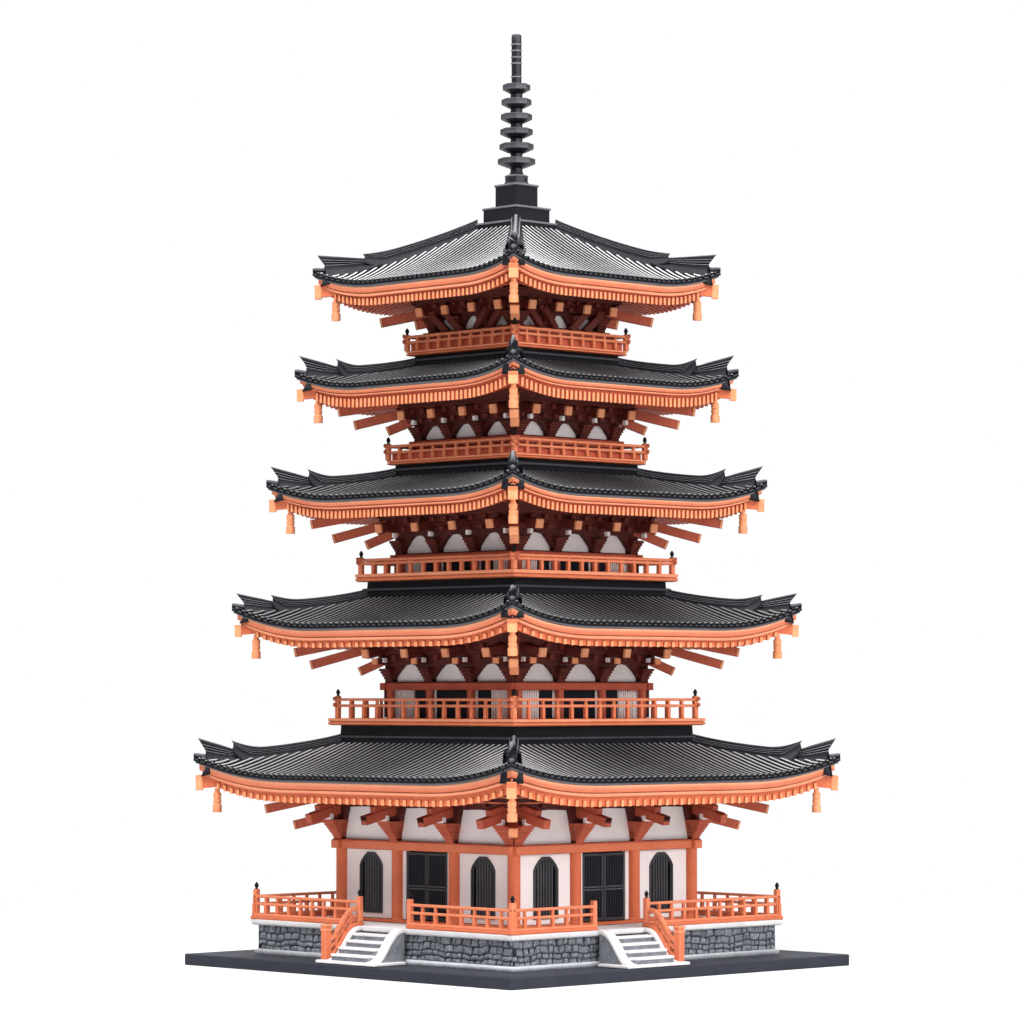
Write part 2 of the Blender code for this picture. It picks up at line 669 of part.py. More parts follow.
def soffit_height(storey, half):
    """Height of the sloping underside of the eaves at the middle of a side."""
    return storey.soffit + SOFFIT_SLOPE * (storey.edge_half - RAFTER_SETBACK * MM - half)


def arch(middle, width, bottom, top, shoulder):
    """A plaster arch between two brackets, from its shoulder: shares of half and rise."""
    half = width / 2
    rise = top - bottom
    points = [(middle - half, bottom), (middle + half, bottom)]
    points += [(middle + half * x, bottom + rise * y) for x, y in shoulder]
    points += [(middle, top)]
    points += [(middle - half * x, bottom + rise * y) for x, y in reversed(shoulder)]
    return points


def arch_cutters(name, storey, shoulder):
    """Openings through the bracket work of two facing sides, once along each axis."""
    foot = storey.beam_top + 0.5 * MM
    edges = [-storey.column_half, -storey.door_column, storey.door_column, storey.column_half]
    reach = 4 * storey.column_half
    cutters = []
    for turn in range(2):
        meshes = []
        for left, right in zip(edges, edges[1:]):
            outline = arch((left + right) / 2, right - left - BRACKET_FOOT * MM, foot,
                           storey.arch_top, shoulder)
            meshes.append(outline_mesh("arch", outline, [], reach))
        bm = bmesh.new()
        for mesh in meshes:
            bm.from_mesh(mesh)
        bmesh.ops.transform(bm, matrix=standing(0, QUARTER_TURNS[turn]), verts=bm.verts)
        cutter_name = name + "_arches_" + str(turn)
        cutters.append(add_object(cutter_name, mesh_from(bm, cutter_name), TOOLS))
    return cutters


def tail_rafters(name, storey):
    """Slanting rafter tails on the diagonals and over the columns, as one tool object."""
    bm = bmesh.new()
    width, height = TAIL_WIDTH * MM, TAIL_HEIGHT * MM
    diagonal = math.sqrt(2)
    root = storey.column_half + TAIL_ROOT * MM
    tails = [(45, 0, root * diagonal, end_half * diagonal, end_height, slope)
             for end_half, end_height, slope in storey.tails]
    tails += [(0, place, root, *storey.side_tail)
              for place in (-storey.door_column, storey.door_column)]
    for angle in QUARTER_TURNS:
        for skew, place, start, reach, end_height, slope in tails:
            tilt = math.atan(slope)
            length = (reach - start) / math.cos(tilt)
            turn = (Matrix.Rotation(angle + math.radians(skew), 4, "Z")
                    @ Matrix.Translation((place, -reach, end_height))
                    @ Matrix.Rotation(tilt, 4, "X"))
            add_box(bm, (-width / 2, 0, -height / 2), (width / 2, length, height / 2), turn)
    return add_object(name, mesh_from(bm, name), TOOLS)


def bracket_profile(storey, beam_bottom):
    """Cross-section of the bracket work: head beam, carved plate and widening tiers."""
    inner = storey.column_half + GAP
    plate = storey.column_half + 3.0 * MM
    outermost = plate + storey.spread
    start = storey.arch_top + 1.2 * MM
    top = soffit_height(storey, outermost) - GAP
    rise = (top - start) / BRACKET_TIERS
    profile = [(inner, top)]
    for tier in range(BRACKET_TIERS):
        half = outermost - (outermost - plate) * tier / BRACKET_TIERS
        profile.append((half, top - rise * tier))
        profile.append((half, top - rise * (tier + 1)))
    if beam_bottom is None:
        profile += [(plate, start), (plate, storey.beam_top + GAP)]
        profile += [(inner, storey.beam_top + GAP)]
    else:
        profile += [(plate, start), (plate, storey.beam_top), (plate + 0.8 * MM, storey.beam_top),
                    (plate + 0.8 * MM, beam_bottom), (inner, beam_bottom)]
    profile.append((inner, top))
    return profile


def make_brackets(number, storey, deck_top=None):
    """Bracket work under the eaves. Above the first storey it has its own columns."""
    beam_bottom = None if deck_top is None else storey.beam_top - UPPER_BEAM_HEIGHT * MM
    name = "brackets_" + str(number)
    body = turned(name, bracket_profile(storey, beam_bottom), 4, "red_wood", half_sides=True)
    shoulder = WIDE_SHOULDER if deck_top is None else STEEP_SHOULDER
    cut(body, *arch_cutters(name, storey, shoulder))
    fuse(body, tail_rafters(name + "_tails", storey))
    if deck_top is not None:
        bm = bmesh.new()
        spots = column_places(storey.column_half + 0.5 * MM + UPPER_COLUMN_RADIUS * MM,
                              storey.door_column)
        for x, y in spots:
            add_post(bm, UPPER_COLUMN_RADIUS * MM, x, y, deck_top + GAP, beam_bottom + SINK, 6)
        columns = name + "_columns"
        fuse(body, add_object(columns, mesh_from(bm, columns), TOOLS))


def make_walls(name, storey, bottom):
    """A square plastered wall up to the soffit: an upper storey, or a band over a beam."""
    outer = storey.column_half
    inner = outer - UPPER_WALL_THICK * MM
    top = soffit_height(storey, outer) - 2 * GAP
    wall = box(name, (-outer, -outer, bottom), (outer, outer, top), "white_plaster")
    room = box(name + "_room", (-inner, -inner, bottom - MM), (inner, inner, top + MM),
               None, TOOLS)
    cut(wall, room)


def seat_profile(storey):
    """The surface between the eaves and the roof, from the edge inwards."""
    edge = storey.fascia_top
    run = storey.edge_half - storey.top_half
    rise = storey.roof_top - edge - TILE_THICK * MM
    return [(storey.edge_half - run * share, edge + 0.75 * rise * share ** 1.5)
            for share in (0.35, 0.7)]


def make_eaves(number, storey):
    """Soffit and stepped fascia, with a hip rafter and a wind bell at each corner."""
    edge = storey.edge_half - FASCIA_SETBACK * MM
    middle = (storey.fascia_bottom + storey.fascia_top) / 2
    rafter_tip = storey.edge_half - RAFTER_SETBACK * MM
    wall = storey.column_half
    ceiling = soffit_height(storey, wall)
    profile = [(0, ceiling), (wall, ceiling), (rafter_tip, storey.soffit),
               (rafter_tip, storey.fascia_bottom), (edge - 1.3 * MM, storey.fascia_bottom),
               (edge - 1.3 * MM, middle), (edge, middle), (edge, storey.fascia_top - GAP)]
    seat = [(half, height - GAP) for half, height in seat_profile(storey)]
    profile += seat
    profile.append((0, seat[-1][1]))
    eaves = mitred_solid("eaves_" + str(number), profile, storey, "orange_wood")
    bm = bmesh.new()
    for angle in QUARTER_TURNS:
        turn = Matrix.Rotation(angle + math.radians(45), 4, "Z")
        reach = storey.hip_half * math.sqrt(2)
        add_box(bm, (-HIP_WIDTH * MM / 2, -reach, storey.hip_bottom),
                (HIP_WIDTH * MM / 2, -reach * 0.8, storey.hip_top), turn)
    name = "hip_rafters_" + str(number)
    fuse(eaves, add_object(name, mesh_from(bm, name), TOOLS), wind_bells(number, storey))


def wind_bells(number, storey):
    """Four bells on rods, one under each hip rafter, as one tool object."""
    bm = bmesh.new()
    reach = (storey.hip_half - BELL_SETBACK) * math.sqrt(2)
    hang = storey.hip_bottom
    cup_top = hang - BELL_DROP * 0.66
    cups = bmesh.new()
    for angle in QUARTER_TURNS:
        place = Matrix.Rotation(angle + math.radians(45), 3, "Z") @ Vector((0, -reach, 0))
        add_post(bm, BELL_ROD_RADIUS, place.x, place.y, cup_top - SINK, hang + SINK, 6)
        spot = Matrix.Translation((place.x, place.y, (hang - BELL_DROP + cup_top) / 2))
        bmesh.ops.create_cone(cups, cap_ends=True, segments=6, radius1=BELL_RADIUS,
                              radius2=BELL_RADIUS * 0.75, depth=BELL_DROP * 0.34, matrix=spot)
    rods = add_object("bell_rods_" + str(number), mesh_from(bm, "bell_rods"), TOOLS)
    fuse(rods, add_object("bell_cups_" + str(number), mesh_from(cups, "bell_cups"), TOOLS))
    return rods


def roof_height(storey, half):
    """Height of the tiles at the middle of a side, at a distance from the axis."""
    edge = storey.fascia_top + TILE_THICK * MM
    share = (storey.edge_half - half) / (storey.edge_half - storey.top_half)
    return edge + (storey.roof_top - edge) * max(0.0, share) ** 1.25


def hip_height(storey, half):
    """Height of the tiles on the diagonal, at a half side from the axis."""
    share = max(0.0, (half - storey.top_half) / (storey.tip_half - storey.top_half))
    level = half - (storey.tip_half - storey.edge_half) * share
    return roof_height(storey, level) + storey.lift * share ** 1.5


def ridge_outline(storey):
    """Side view of a hip ridge: the upper ridge with its horn, then the lower one."""
    start = storey.top_half + 0.4 * MM
    horn = storey.horn_half
    end = storey.tip_half - 0.8 * MM
    thick = RIDGE_HEIGHT * MM
    diagonal = math.sqrt(2)
    top = []
    for step in range(5):
        half = start + (horn - 5.5 * MM - start) * step / 4
        top.append((half, hip_height(storey, half) + thick))
    top.append((horn - 1.5 * MM, storey.horn_top - 1.9 * MM))
    top.append((horn, storey.horn_top))
    top.append((horn + 0.8 * MM, storey.horn_top - 0.6 * MM))
    top.append((horn - 0.4 * MM, hip_height(storey, horn) + thick - 0.6 * MM))
    span = end - horn
    low = hip_height(storey, horn) + thick - 0.6 * MM
    for share in (0.35, 0.7, 1.0):
        top.append((horn + span * share, low + (storey.ridge_end_top - low) * share ** 1.6))
    top.append((end + 0.2 * MM, storey.ridge_end_top - 2.6 * MM))
    bottom = []
    for step in range(5):
        half = end - 2.4 * MM - (end - 2.4 * MM - start) * step / 4
        bottom.append((half, hip_height(storey, half) - SINK))
    return [(half * diagonal, height) for half, height in top + bottom]


def make_roof(number, storey):
    """Tiled roof with a double ridge on each hip."""
    edge = storey.edge_half
    seat = seat_profile(storey)
    profile = [(0, seat[-1][1])] + seat[::-1]
    profile += [(edge - 0.3 * MM, storey.fascia_top), (edge, storey.fascia_top + TILE_THICK * MM)]
    for share in (0.25, 0.6):
        half = edge - (edge - storey.top_half) * share
        profile.append((half, roof_height(storey, half)))
    profile += [(storey.top_half, storey.roof_top), (0, storey.roof_top)]
    roof = mitred_solid("roof_" + str(number), profile, storey, "black_tile")
    ridge = outline_mesh("ridge", ridge_outline(storey), [], RIDGE_WIDTH * MM)
    upright = Matrix.Rotation(math.radians(90), 4, "X")
    places = [Matrix.Rotation(angle + math.radians(45), 4, "Z") @ upright
              for angle in QUARTER_TURNS]
    fuse(roof, plates("ridges_" + str(number), ridge, places))


def make_collar(number, balcony, roof_top):
    """Stepped black box between a roof and the balcony above it."""
    half = balcony.collar_half
    low = roof_top + GAP
    turned("collar_" + str(number),
           [(0, balcony.collar_top), (half - 1.2 * MM, balcony.collar_top),
            (half - 1.2 * MM, balcony.collar_moulding + 0.6 * MM),
            (half + 0.6 * MM, balcony.collar_moulding + 0.6 * MM),
            (half + 0.6 * MM, balcony.collar_moulding - 0.6 * MM),
            (half, balcony.collar_moulding - 0.6 * MM), (half, low), (0, low)],
           4, "black_lacquer", half_sides=True)


def make_balcony(number, balcony):
    """Deck and railing, with rails that cross at the corners."""
    name = "balcony_" + str(number)
    line = balcony.rail_half
    half = balcony.deck_half
    deck = box(name, (-half, -half, balcony.deck_bottom), (half, half, balcony.deck_top),
               "orange_wood")
    foot = balcony.deck_top - SINK
    reach = line + balcony.reach
    rail_bottom = balcony.top_rail - RAIL_HEIGHT
    posts = post_corners([(x, y) for x in (-line, line) for y in (-line, line)],
                         POST_WIDTH / 2, foot, balcony.post_top)
    lesser = between_posts(-line, line, balcony.bays)
    places = [(spot, side) for spot in lesser for side in (-line, line)]
    places += [(y, x) for x, y in places]
    posts += post_corners(places, BALUSTER_WIDTH / 2, foot, rail_bottom + SINK)
    wide = RAIL_DEPTH / 2
    along = [((-reach, side - wide, rail_bottom), (reach, side + wide, balcony.top_rail))
             for side in (-line, line)]
    across = [((side - wide, -reach, rail_bottom - OFFSET),
               (side + wide, reach, balcony.top_rail - OFFSET)) for side in (-line, line)]
    fuse(deck, box_tool(name + "_posts", posts), box_tool(name + "_rails_a", along),
         box_tool(name + "_rails_b", across))


def make_finial():
    """Stepped square base, then a spire with six growing discs."""
    profile = [(0, ROBAN_TIERS[-1][2])]
    for half, low, high in reversed(ROBAN_TIERS):
        profile.append((half, high))
        profile.append((half, low))
    profile.append((0, ROBAN_TIERS[0][1]))
    turned("finial_base", profile, 4, "dark_metal", half_sides=True)
    foot = ROBAN_TIERS[-1][2] + GAP
    profile = [(0, SPIRE_TOP), (ROD_RADIUS, SPIRE_TOP)]
    top = LOWEST_DISC + DISC_SPACING * (len(DISC_RADII) - 1)
    for number, radius in enumerate(DISC_RADII):
        low = top - number * DISC_SPACING
        neck = ROD_RADIUS if number == 0 else NECK_RADIUS
        profile.append((neck, low + DISC_HEIGHT + 0.3 * MM))
        profile.append((radius, low + DISC_HEIGHT))
        profile.append((radius, low + 1.6 * MM))
        profile.append((radius * 0.55, low))
        profile.append((NECK_RADIUS, low - 0.3 * MM))
    profile += [(NECK_RADIUS, SOCKET_TOP + 2.4 * MM), (SOCKET_RADIUS - 1.2 * MM, SOCKET_TOP),
                (SOCKET_RADIUS, SOCKET_TOP), (SOCKET_RADIUS, foot), (0, foot)]
    turned("spire", profile, FINIAL_SIDES, "dark_metal")


def make_pagoda():
    make_base()
    make_stairs()
    make_veranda_rails()
    half = FLOOR_SIDE / 2
    box("ground_floor", (-half, -half, CAP_TOP + GAP), (half, half, FLOOR_TOP), "orange_wood")
    make_ground_frame()
    make_corner_walls()
    make_window_sheet()
    make_doors()
    rows = [in_metres(row) for row in STOREYS]
    for number, storey in enumerate(rows, 1):
        if number == 1:
            make_walls("plaster_band", storey, BEAM_TOP + GAP)
            make_brackets(1, storey)
        else:
            balcony = in_metres(BALCONIES[number - 2])
            make_collar(number, balcony, rows[number - 2].roof_top)
            make_balcony(number, balcony)
            make_walls("walls_" + str(number), storey, balcony.deck_top + GAP)
            make_brackets(number, storey, balcony.deck_top)
        make_eaves(number, storey)
        make_roof(number, storey)
    make_finial()


clear_scene()
PAGODA = make_collection("pagoda")
TOOLS = make_collection("cutters_and_guides")
make_pagoda()
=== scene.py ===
# %% [markdown]
# # A five-storeyed pagoda model
# This lesson dresses a table-top model of a pagoda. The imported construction
# gives the sizes and the moving doors. Everything that the eye rests on, such as
# tile ribs, rafters, bracket blocks, railings and masonry, is made here.
# Lengths are in millimetres in the arrays, and become metres in the meshes.

import math
from collections import namedtuple

import bpy
import numpy as np
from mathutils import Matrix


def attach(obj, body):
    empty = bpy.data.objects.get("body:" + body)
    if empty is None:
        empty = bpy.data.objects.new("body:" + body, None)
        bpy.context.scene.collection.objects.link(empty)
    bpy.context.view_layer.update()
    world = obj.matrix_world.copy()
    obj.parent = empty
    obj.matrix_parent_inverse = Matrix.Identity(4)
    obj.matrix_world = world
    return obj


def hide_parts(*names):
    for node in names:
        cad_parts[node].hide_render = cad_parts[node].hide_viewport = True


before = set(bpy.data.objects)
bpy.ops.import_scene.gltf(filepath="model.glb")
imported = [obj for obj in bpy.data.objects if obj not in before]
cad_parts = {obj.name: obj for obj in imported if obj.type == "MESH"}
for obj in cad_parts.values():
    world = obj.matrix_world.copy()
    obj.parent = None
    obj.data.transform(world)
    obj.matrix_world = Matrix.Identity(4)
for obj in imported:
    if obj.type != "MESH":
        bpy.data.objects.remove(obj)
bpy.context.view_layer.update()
MM = 0.001
TOWER = "pagoda"

# %% [markdown]
# ## Camera, floor and light
# A model like this is photographed with a long lens from near its own height, so
# that the storeys don't lean. The camera stands off one corner and is tilted up a
# little, which frames the tower without any lens shift. A large soft light from
# above and in front lights the tower. The bright lines on the tile ribs are painted
# highlights, and the dark under the eaves is partly painted shade.

# %% Camera
CAMERA_DISTANCE = 1856.4
CAMERA_HEIGHT = 129.0
CAMERA_SIDE = 2.18
CAMERA_AZIMUTH = math.radians(45.88)
CAMERA_TILT = math.radians(2.738)
LENS = 135.36


def add_camera():
    """A camera on a circle round the tower, looking level and then tilted up."""
    data = bpy.data.cameras.new("camera")
    data.lens = LENS
    data.sensor_width = 36
    data.clip_end = 20
    camera = bpy.data.objects.new("camera", data)
    sine, cosine = math.sin(CAMERA_AZIMUTH), math.cos(CAMERA_AZIMUTH)
    camera.location = ((sine * CAMERA_DISTANCE - cosine * CAMERA_SIDE) * MM,
                       (-cosine * CAMERA_DISTANCE - sine * CAMERA_SIDE) * MM,
                       CAMERA_HEIGHT * MM)
    camera.rotation_euler = (math.radians(90) + CAMERA_TILT, 0, CAMERA_AZIMUTH)
    bpy.context.scene.collection.objects.link(camera)
    bpy.context.scene.camera = camera


add_camera()
print("camera at", [round(v, 3) for v in bpy.context.scene.camera.location])

# %% Lights and world
LIGHT_AIM = 0.2                # metres above the floor
LIGHTS = [
    # name, azimuth and elevation in degrees, distance and size in metres, watts
    ("key", 20, 50, 1.5, 0.8, 27),
    ("fill", 92, 26, 1.6, 0.9, 21),
    ("front", 46, 10, 1.9, 0.9, 4),
    ("back", 225, 45, 1.6, 1.0, 14),
]


def add_area_light(name, azimuth, elevation, distance, size, power):
    """A square soft light that looks at the tower's axis, LIGHT_AIM above the floor."""
    data = bpy.data.lights.new(name, "AREA")
    data.energy = power
    data.size = size
    light = bpy.data.objects.new(name, data)
    turn, lift = math.radians(azimuth), math.radians(elevation)
    light.location = (distance * math.sin(turn) * math.cos(lift),
                      -distance * math.cos(turn) * math.cos(lift),
                      LIGHT_AIM + distance * math.sin(lift))
    light.rotation_euler = (math.radians(90) - lift, 0, turn)
    bpy.context.scene.collection.objects.link(light)


def set_world(seen, given):
    """A white backdrop for the camera, and a dimmer, even light for the object."""
    world = bpy.data.worlds.new("studio")
    bpy.context.scene.world = world
    world.use_nodes = True
    tree = world.node_tree
    tree.nodes.clear()
    output = tree.nodes.new("ShaderNodeOutputWorld")
    mix = tree.nodes.new("ShaderNodeMixShader")
    path = tree.nodes.new("ShaderNodeLightPath")
    for number, strength in ((1, given), (2, seen)):
        background = tree.nodes.new("ShaderNodeBackground")
        background.inputs["Color"].default_value = (1, 1, 1, 1)
        background.inputs["Strength"].default_value = strength
        tree.links.new(background.outputs[0], mix.inputs[number])
    tree.links.new(path.outputs["Is Camera Ray"], mix.inputs[0])
    tree.links.new(mix.outputs[0], output.inputs["Surface"])


for row in LIGHTS:
    add_area_light(*row)
set_world(seen=1.0, given=0.36)
bpy.context.scene.view_settings.view_transform = "Standard"
print(len(LIGHTS), "lights")

# %% [markdown]
# ## Surfaces as arrays
# Every new shape is an array of points and an array of faces, worked out by numpy
# in one go. A part is its points, its face arrays, the name of its finish, and crest: a
# number for each point that the finishes read. Mostly it is how strong a painted
# highlight is there, such as on the middle of a tile rib; on the masonry it is how near a joint lies.
# Shapes are worked out for the south side and turned to the other three.

# %% Mesh helpers
Part = namedtuple("Part", "points faces finish crest")
QUARTERS = range(4)


def part(points, faces, finish, crest=None):
    """A part from any arrays, with crest 0 where none is given."""
    points = np.asarray(points, float).reshape(-1, 3)
    faces = faces if isinstance(faces, list) else [faces]
    crest = np.zeros(len(points)) if crest is None else np.asarray(crest, float).ravel()
    return Part(points, [np.asarray(f, int) for f in faces], finish, crest)


def grid_faces(rows, columns, wrap=False):
    """Quads between neighbours of a grid of points, row by row."""
    index = np.arange(rows * columns).reshape(rows, columns)
    if wrap:
        index = np.hstack([index, index[:, :1]])
    return np.stack([index[:-1, :-1], index[:-1, 1:], index[1:, 1:], index[1:, :-1]],
                    -1).reshape(-1, 4)


def repeated(faces, copies, count):
    """The faces of one shape, which has count points, for each of its copies."""
    shift = (np.arange(copies) * count)[:, None, None]
    return [(f[None] + shift).reshape(-1, f.shape[1]) for f in faces]


def outward(points, faces, seen_from=None):
    """Faces turned so that a closed shape has a positive volume, or, with a point
    given, so that an open surface faces that point."""
    total = 0.0
    for f in faces:
        corner = points[f]
        normal = np.cross(corner[:, 1] - corner[:, 0], corner[:, 2] - corner[:, 0])
        if f.shape[1] > 3:
            normal = np.cross(corner[:, 2] - corner[:, 0], corner[:, 3] - corner[:, 1])
        centre = corner.mean(1)
        arm = centre - points.mean(0) if seen_from is None else np.asarray(seen_from) - centre
        total += (normal * arm).sum()
    return [f[:, ::-1] for f in faces] if total < 0 else faces


def turned(item, turns):
    """A part turned about the tower's axis by quarter turns."""
    angle = math.pi / 2 * turns
    sine, cosine = math.sin(angle), math.cos(angle)
    x, y, z = item.points.T
    return item._replace(points=np.stack([x * cosine - y * sine, x * sine + y * cosine, z], 1))


def all_round(items):
    """The same parts on all four sides."""
    return [turned(item, turns) for turns in QUARTERS for item in items]


def joined(items, weld=False):
    """Several parts of one finish as one part. Welding merges points that coincide."""
    points = np.concatenate([item.points for item in items])
    crest = np.concatenate([item.crest for item in items])
    starts = np.cumsum([0] + [len(item.points) for item in items])
    faces = [f + start for item, start in zip(items, starts) for f in item.faces]
    if weld:
        _, first, inverse = np.unique(np.round(points, 3), axis=0, return_index=True,
                                      return_inverse=True)
        points, crest = points[first], crest[first]
        faces = [inverse.ravel()[f] for f in faces]
    return Part(points, faces, items[0].finish, crest)


print("a part has", Part._fields)

# %% [markdown]
# ## Pieces
# A piece joins its parts in one mesh, with one material slot for each finish. foreach_set
# takes whole arrays, so a roof of many thousand faces is filled in at once. Edges that
# bend more than a given angle stay sharp, and the rest is shaded smooth. Each piece then
# rides on a body of the construction, and says which solid it takes the place of.

# %% Pieces
FINISHES = {}
tally = {"pieces": 0, "triangles": 0}


def piece(name, parts, body=TOWER, replaces=(), sharp=35):
    """Join parts in one mesh object that rides on a body of the construction."""
    finishes = sorted({item.finish for item in parts})
    points = np.concatenate([item.points for item in parts]) * MM
    crest = np.concatenate([item.crest for item in parts])
    loops, sizes, slots, start = [], [], [], 0
    for item in parts:
        for f in item.faces:
            loops.append((f + start).ravel())
            sizes.append(np.full(len(f), f.shape[1]))
            slots.append(np.full(len(f), finishes.index(item.finish)))
        start += len(item.points)
    loops, sizes, slots = (np.concatenate(x).astype(np.int32) for x in (loops, sizes, slots))
    mesh = bpy.data.meshes.new(name)
    mesh.vertices.add(len(points))
    mesh.vertices.foreach_set("co", points.ravel())
    mesh.loops.add(len(loops))
    mesh.loops.foreach_set("vertex_index", loops)
    mesh.polygons.add(len(sizes))
    mesh.polygons.foreach_set("loop_start", np.concatenate([[0], np.cumsum(sizes)[:-1]]))
    mesh.polygons.foreach_set("material_index", slots)
    mesh.update(calc_edges=True)
    mesh.validate()
    layer = mesh.attributes.new("crest", "FLOAT", "POINT")
    layer.data.foreach_set("value", crest.astype(np.float32))
    for finish in finishes:
        mesh.materials.append(FINISHES[finish])
    mesh.shade_smooth()
    mesh.set_sharp_from_angle(angle=math.radians(sharp))
    item = bpy.data.objects.new(name, mesh)
    bpy.context.scene.collection.objects.link(item)
    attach(item, body)
    if replaces:
        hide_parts(*replaces)
    tally["pieces"] += 1
    tally["triangles"] += int((sizes - 2).sum())


print("pieces so far:", tally)

# %% [markdown]
# ## Blocks and bars
# Joinery is mostly boxes, and a sharp box looks like a drawing. Each edge is therefore
# trimmed by a narrow flat, which catches the light as a real arris does. One template of
# 24 points serves for all of them: it is scaled and moved for many boxes in one sum.

# %% Block template
def block_template():
    """A box with trimmed edges. Each corner has three points, one for each face that
    meets there: sign is the corner, and trim how each point steps back from it."""
    signs = np.array([[x, y, z] for x in (-1, 1) for y in (-1, 1) for z in (-1, 1)])
    sign = np.repeat(signs, 3, axis=0)
    keeps = np.tile(np.eye(3), (8, 1))
    trim = sign * (1 - keeps)
    number = {tuple(s): 3 * n for n, s in enumerate(signs)}
    quads, corners = [], []
    for axis in range(3):
        one, two = [a for a in range(3) if a != axis]
        for side in (-1, 1):
            loop = []
            for a, b in ((-1, -1), (1, -1), (1, 1), (-1, 1)):
                s = [0, 0, 0]
                s[axis], s[one], s[two] = side, a, b
                loop.append(number[tuple(s)] + axis)
            quads.append(loop)
        for a in (-1, 1):
            for b in (-1, 1):
                low, high = [0, 0, 0], [0, 0, 0]
                low[axis], low[one], low[two] = -1, a, b
                high[axis], high[one], high[two] = 1, a, b
                low, high = number[tuple(low)], number[tuple(high)]
                quads.append([low + one, high + one, high + two, low + two])
    for s in number.values():
        corners.append([s, s + 1, s + 2])
    points = sign - 0.2 * trim
    faces = []
    for loops in (quads, corners):
        kept = []
        for loop in loops:
            p = points[loop]
            normal = np.cross(p[1] - p[0], p[2] - p[0])
            kept.append(loop if normal @ p.mean(0) > 0 else loop[::-1])
        faces.append(np.array(kept))
    return sign, trim, faces


SIGN, TRIM, BLOCK_FACES = block_template()
print("a block has", len(SIGN), "points and", sum(map(len, BLOCK_FACES)), "faces")


# %% Blocks and bars
def blocks(centres, sizes, finish, chamfer=0.15, crest=0.0):
    """Boxes with trimmed edges at many places:
    point = sign * half size - trim * chamfer + centre."""
    centres = np.atleast_2d(np.asarray(centres, float))
    count = len(centres)
    half = np.broadcast_to(np.asarray(sizes, float) / 2, (count, 3))
    step_back = TRIM[None] * np.minimum(chamfer, half.min(1))[:, None, None]
    points = SIGN[None] * half[:, None] - step_back + centres[:, None]
    faces = repeated(BLOCK_FACES, count, len(SIGN))
    return part(points, faces, finish, np.full(count * len(SIGN), crest))


def bars(starts, ends, width, height, finish, chamfer=0.15, crest=0.0):
    """Straight bars from point to point, level across: a box along each line, whose
    side runs along the flat normal of the line and whose height along the third axis."""
    starts, ends = np.atleast_2d(np.asarray(starts, float)), np.atleast_2d(np.asarray(ends, float))
    along = ends - starts
    length = np.linalg.norm(along, axis=1, keepdims=True)
    along = along / length
    across = np.stack([-along[:, 1], along[:, 0], np.zeros(len(along))], 1)
    across = across / np.maximum(np.linalg.norm(across, axis=1, keepdims=True), 1e-9)
    up = np.cross(along, across)
    half = np.concatenate([length / 2, np.full_like(length, width / 2),
                           np.full_like(length, height / 2)], 1)
    local = SIGN[None] * half[:, None] - TRIM[None] * chamfer
    points = (local[..., :1] * along[:, None] + local[..., 1:2] * across[:, None]
              + local[..., 2:] * up[:, None]) + ((starts + ends) / 2)[:, None]
    faces = repeated(BLOCK_FACES, len(starts), len(SIGN))
    return part(points, faces, finish, np.full(len(starts) * len(SIGN), crest))


print("a unit block spans", np.ptp(blocks((0, 0, 0), (1, 1, 1), "any").points, axis=0))

# %% [markdown]
# ## Turned shapes, rings and sweeps
# The other shapes are profiles that are carried along: round an upright axis for a
# column or a disc, round a square for a moulding, or along a line of sections for a
# ridge. Each is a grid of points, with its two ends closed flat.

# %% Turned shapes, rings and sweeps
def lathes(profile, places, sides, finish, crest=None):
    """A profile of (radius, height), bottom to top, turned at many places:
    point = place + (radius cos t, radius sin t, height). Ends are closed flat."""
    profile, places = np.asarray(profile, float), np.atleast_2d(np.asarray(places, float))
    t = np.arange(sides) * 2 * math.pi / sides
    ring = np.stack([np.cos(t), np.sin(t)], 1)
    one = np.concatenate([profile[:, None, :1] * ring[None],
                          np.broadcast_to(profile[:, None, 1:], (len(profile), sides, 1))], -1)
    points = places[:, None, None] + one[None]
    end = np.arange(sides)[None]
    faces = [grid_faces(len(profile), sides, wrap=True), end[:, ::-1],
             end + (len(profile) - 1) * sides]
    faces = repeated(faces, len(places), len(profile) * sides)
    glow = None
    if crest is not None:
        glow = np.broadcast_to(np.asarray(crest, float)[None, :, None],
                               (len(places), len(profile), sides))
    return part(points, faces, finish, glow)


def square_ring(profile, finish, crest=None):
    """A profile of (half side, height), bottom to top, carried round a square with
    mitred corners: each point stands at (+-half, +-half, height)."""
    profile = np.asarray(profile, float)
    corner = np.array([(-1, -1), (1, -1), (1, 1), (-1, 1)], float)
    points = np.concatenate([profile[:, None, :1] * corner[None],
                             np.broadcast_to(profile[:, None, 1:], (len(profile), 4, 1))], -1)
    faces = [grid_faces(len(profile), 4, wrap=True), np.array([[3, 2, 1, 0]]),
             np.array([[0, 1, 2, 3]]) + 4 * (len(profile) - 1)]
    glow = None if crest is None else np.repeat(np.asarray(crest, float), 4)
    return part(points, faces, finish, glow)


def sweep(sections, finish, crest=None):
    """Closed sections, an array of (station, point, xyz), joined by quads and capped."""
    stations, count = sections.shape[:2]
    points = sections.reshape(-1, 3)
    faces = [grid_faces(stations, count, wrap=True), np.arange(count)[::-1][None],
             np.arange(count)[None] + (stations - 1) * count]
    faces = outward(points, faces[:1]) + faces[1:]
    ends = points[faces[1][0]]
    leave = np.cross(ends[1] - ends[0], ends[2] - ends[0]) @ (points[:count].mean(0)
                                                              - points[count:2 * count].mean(0))
    if leave < 0:
        faces[1:] = [f[:, ::-1] for f in faces[1:]]
    return part(points, faces, finish, crest)


print("a square ring of two levels has", len(square_ring([(1, 0), (1, 1)], "any").points), "points")
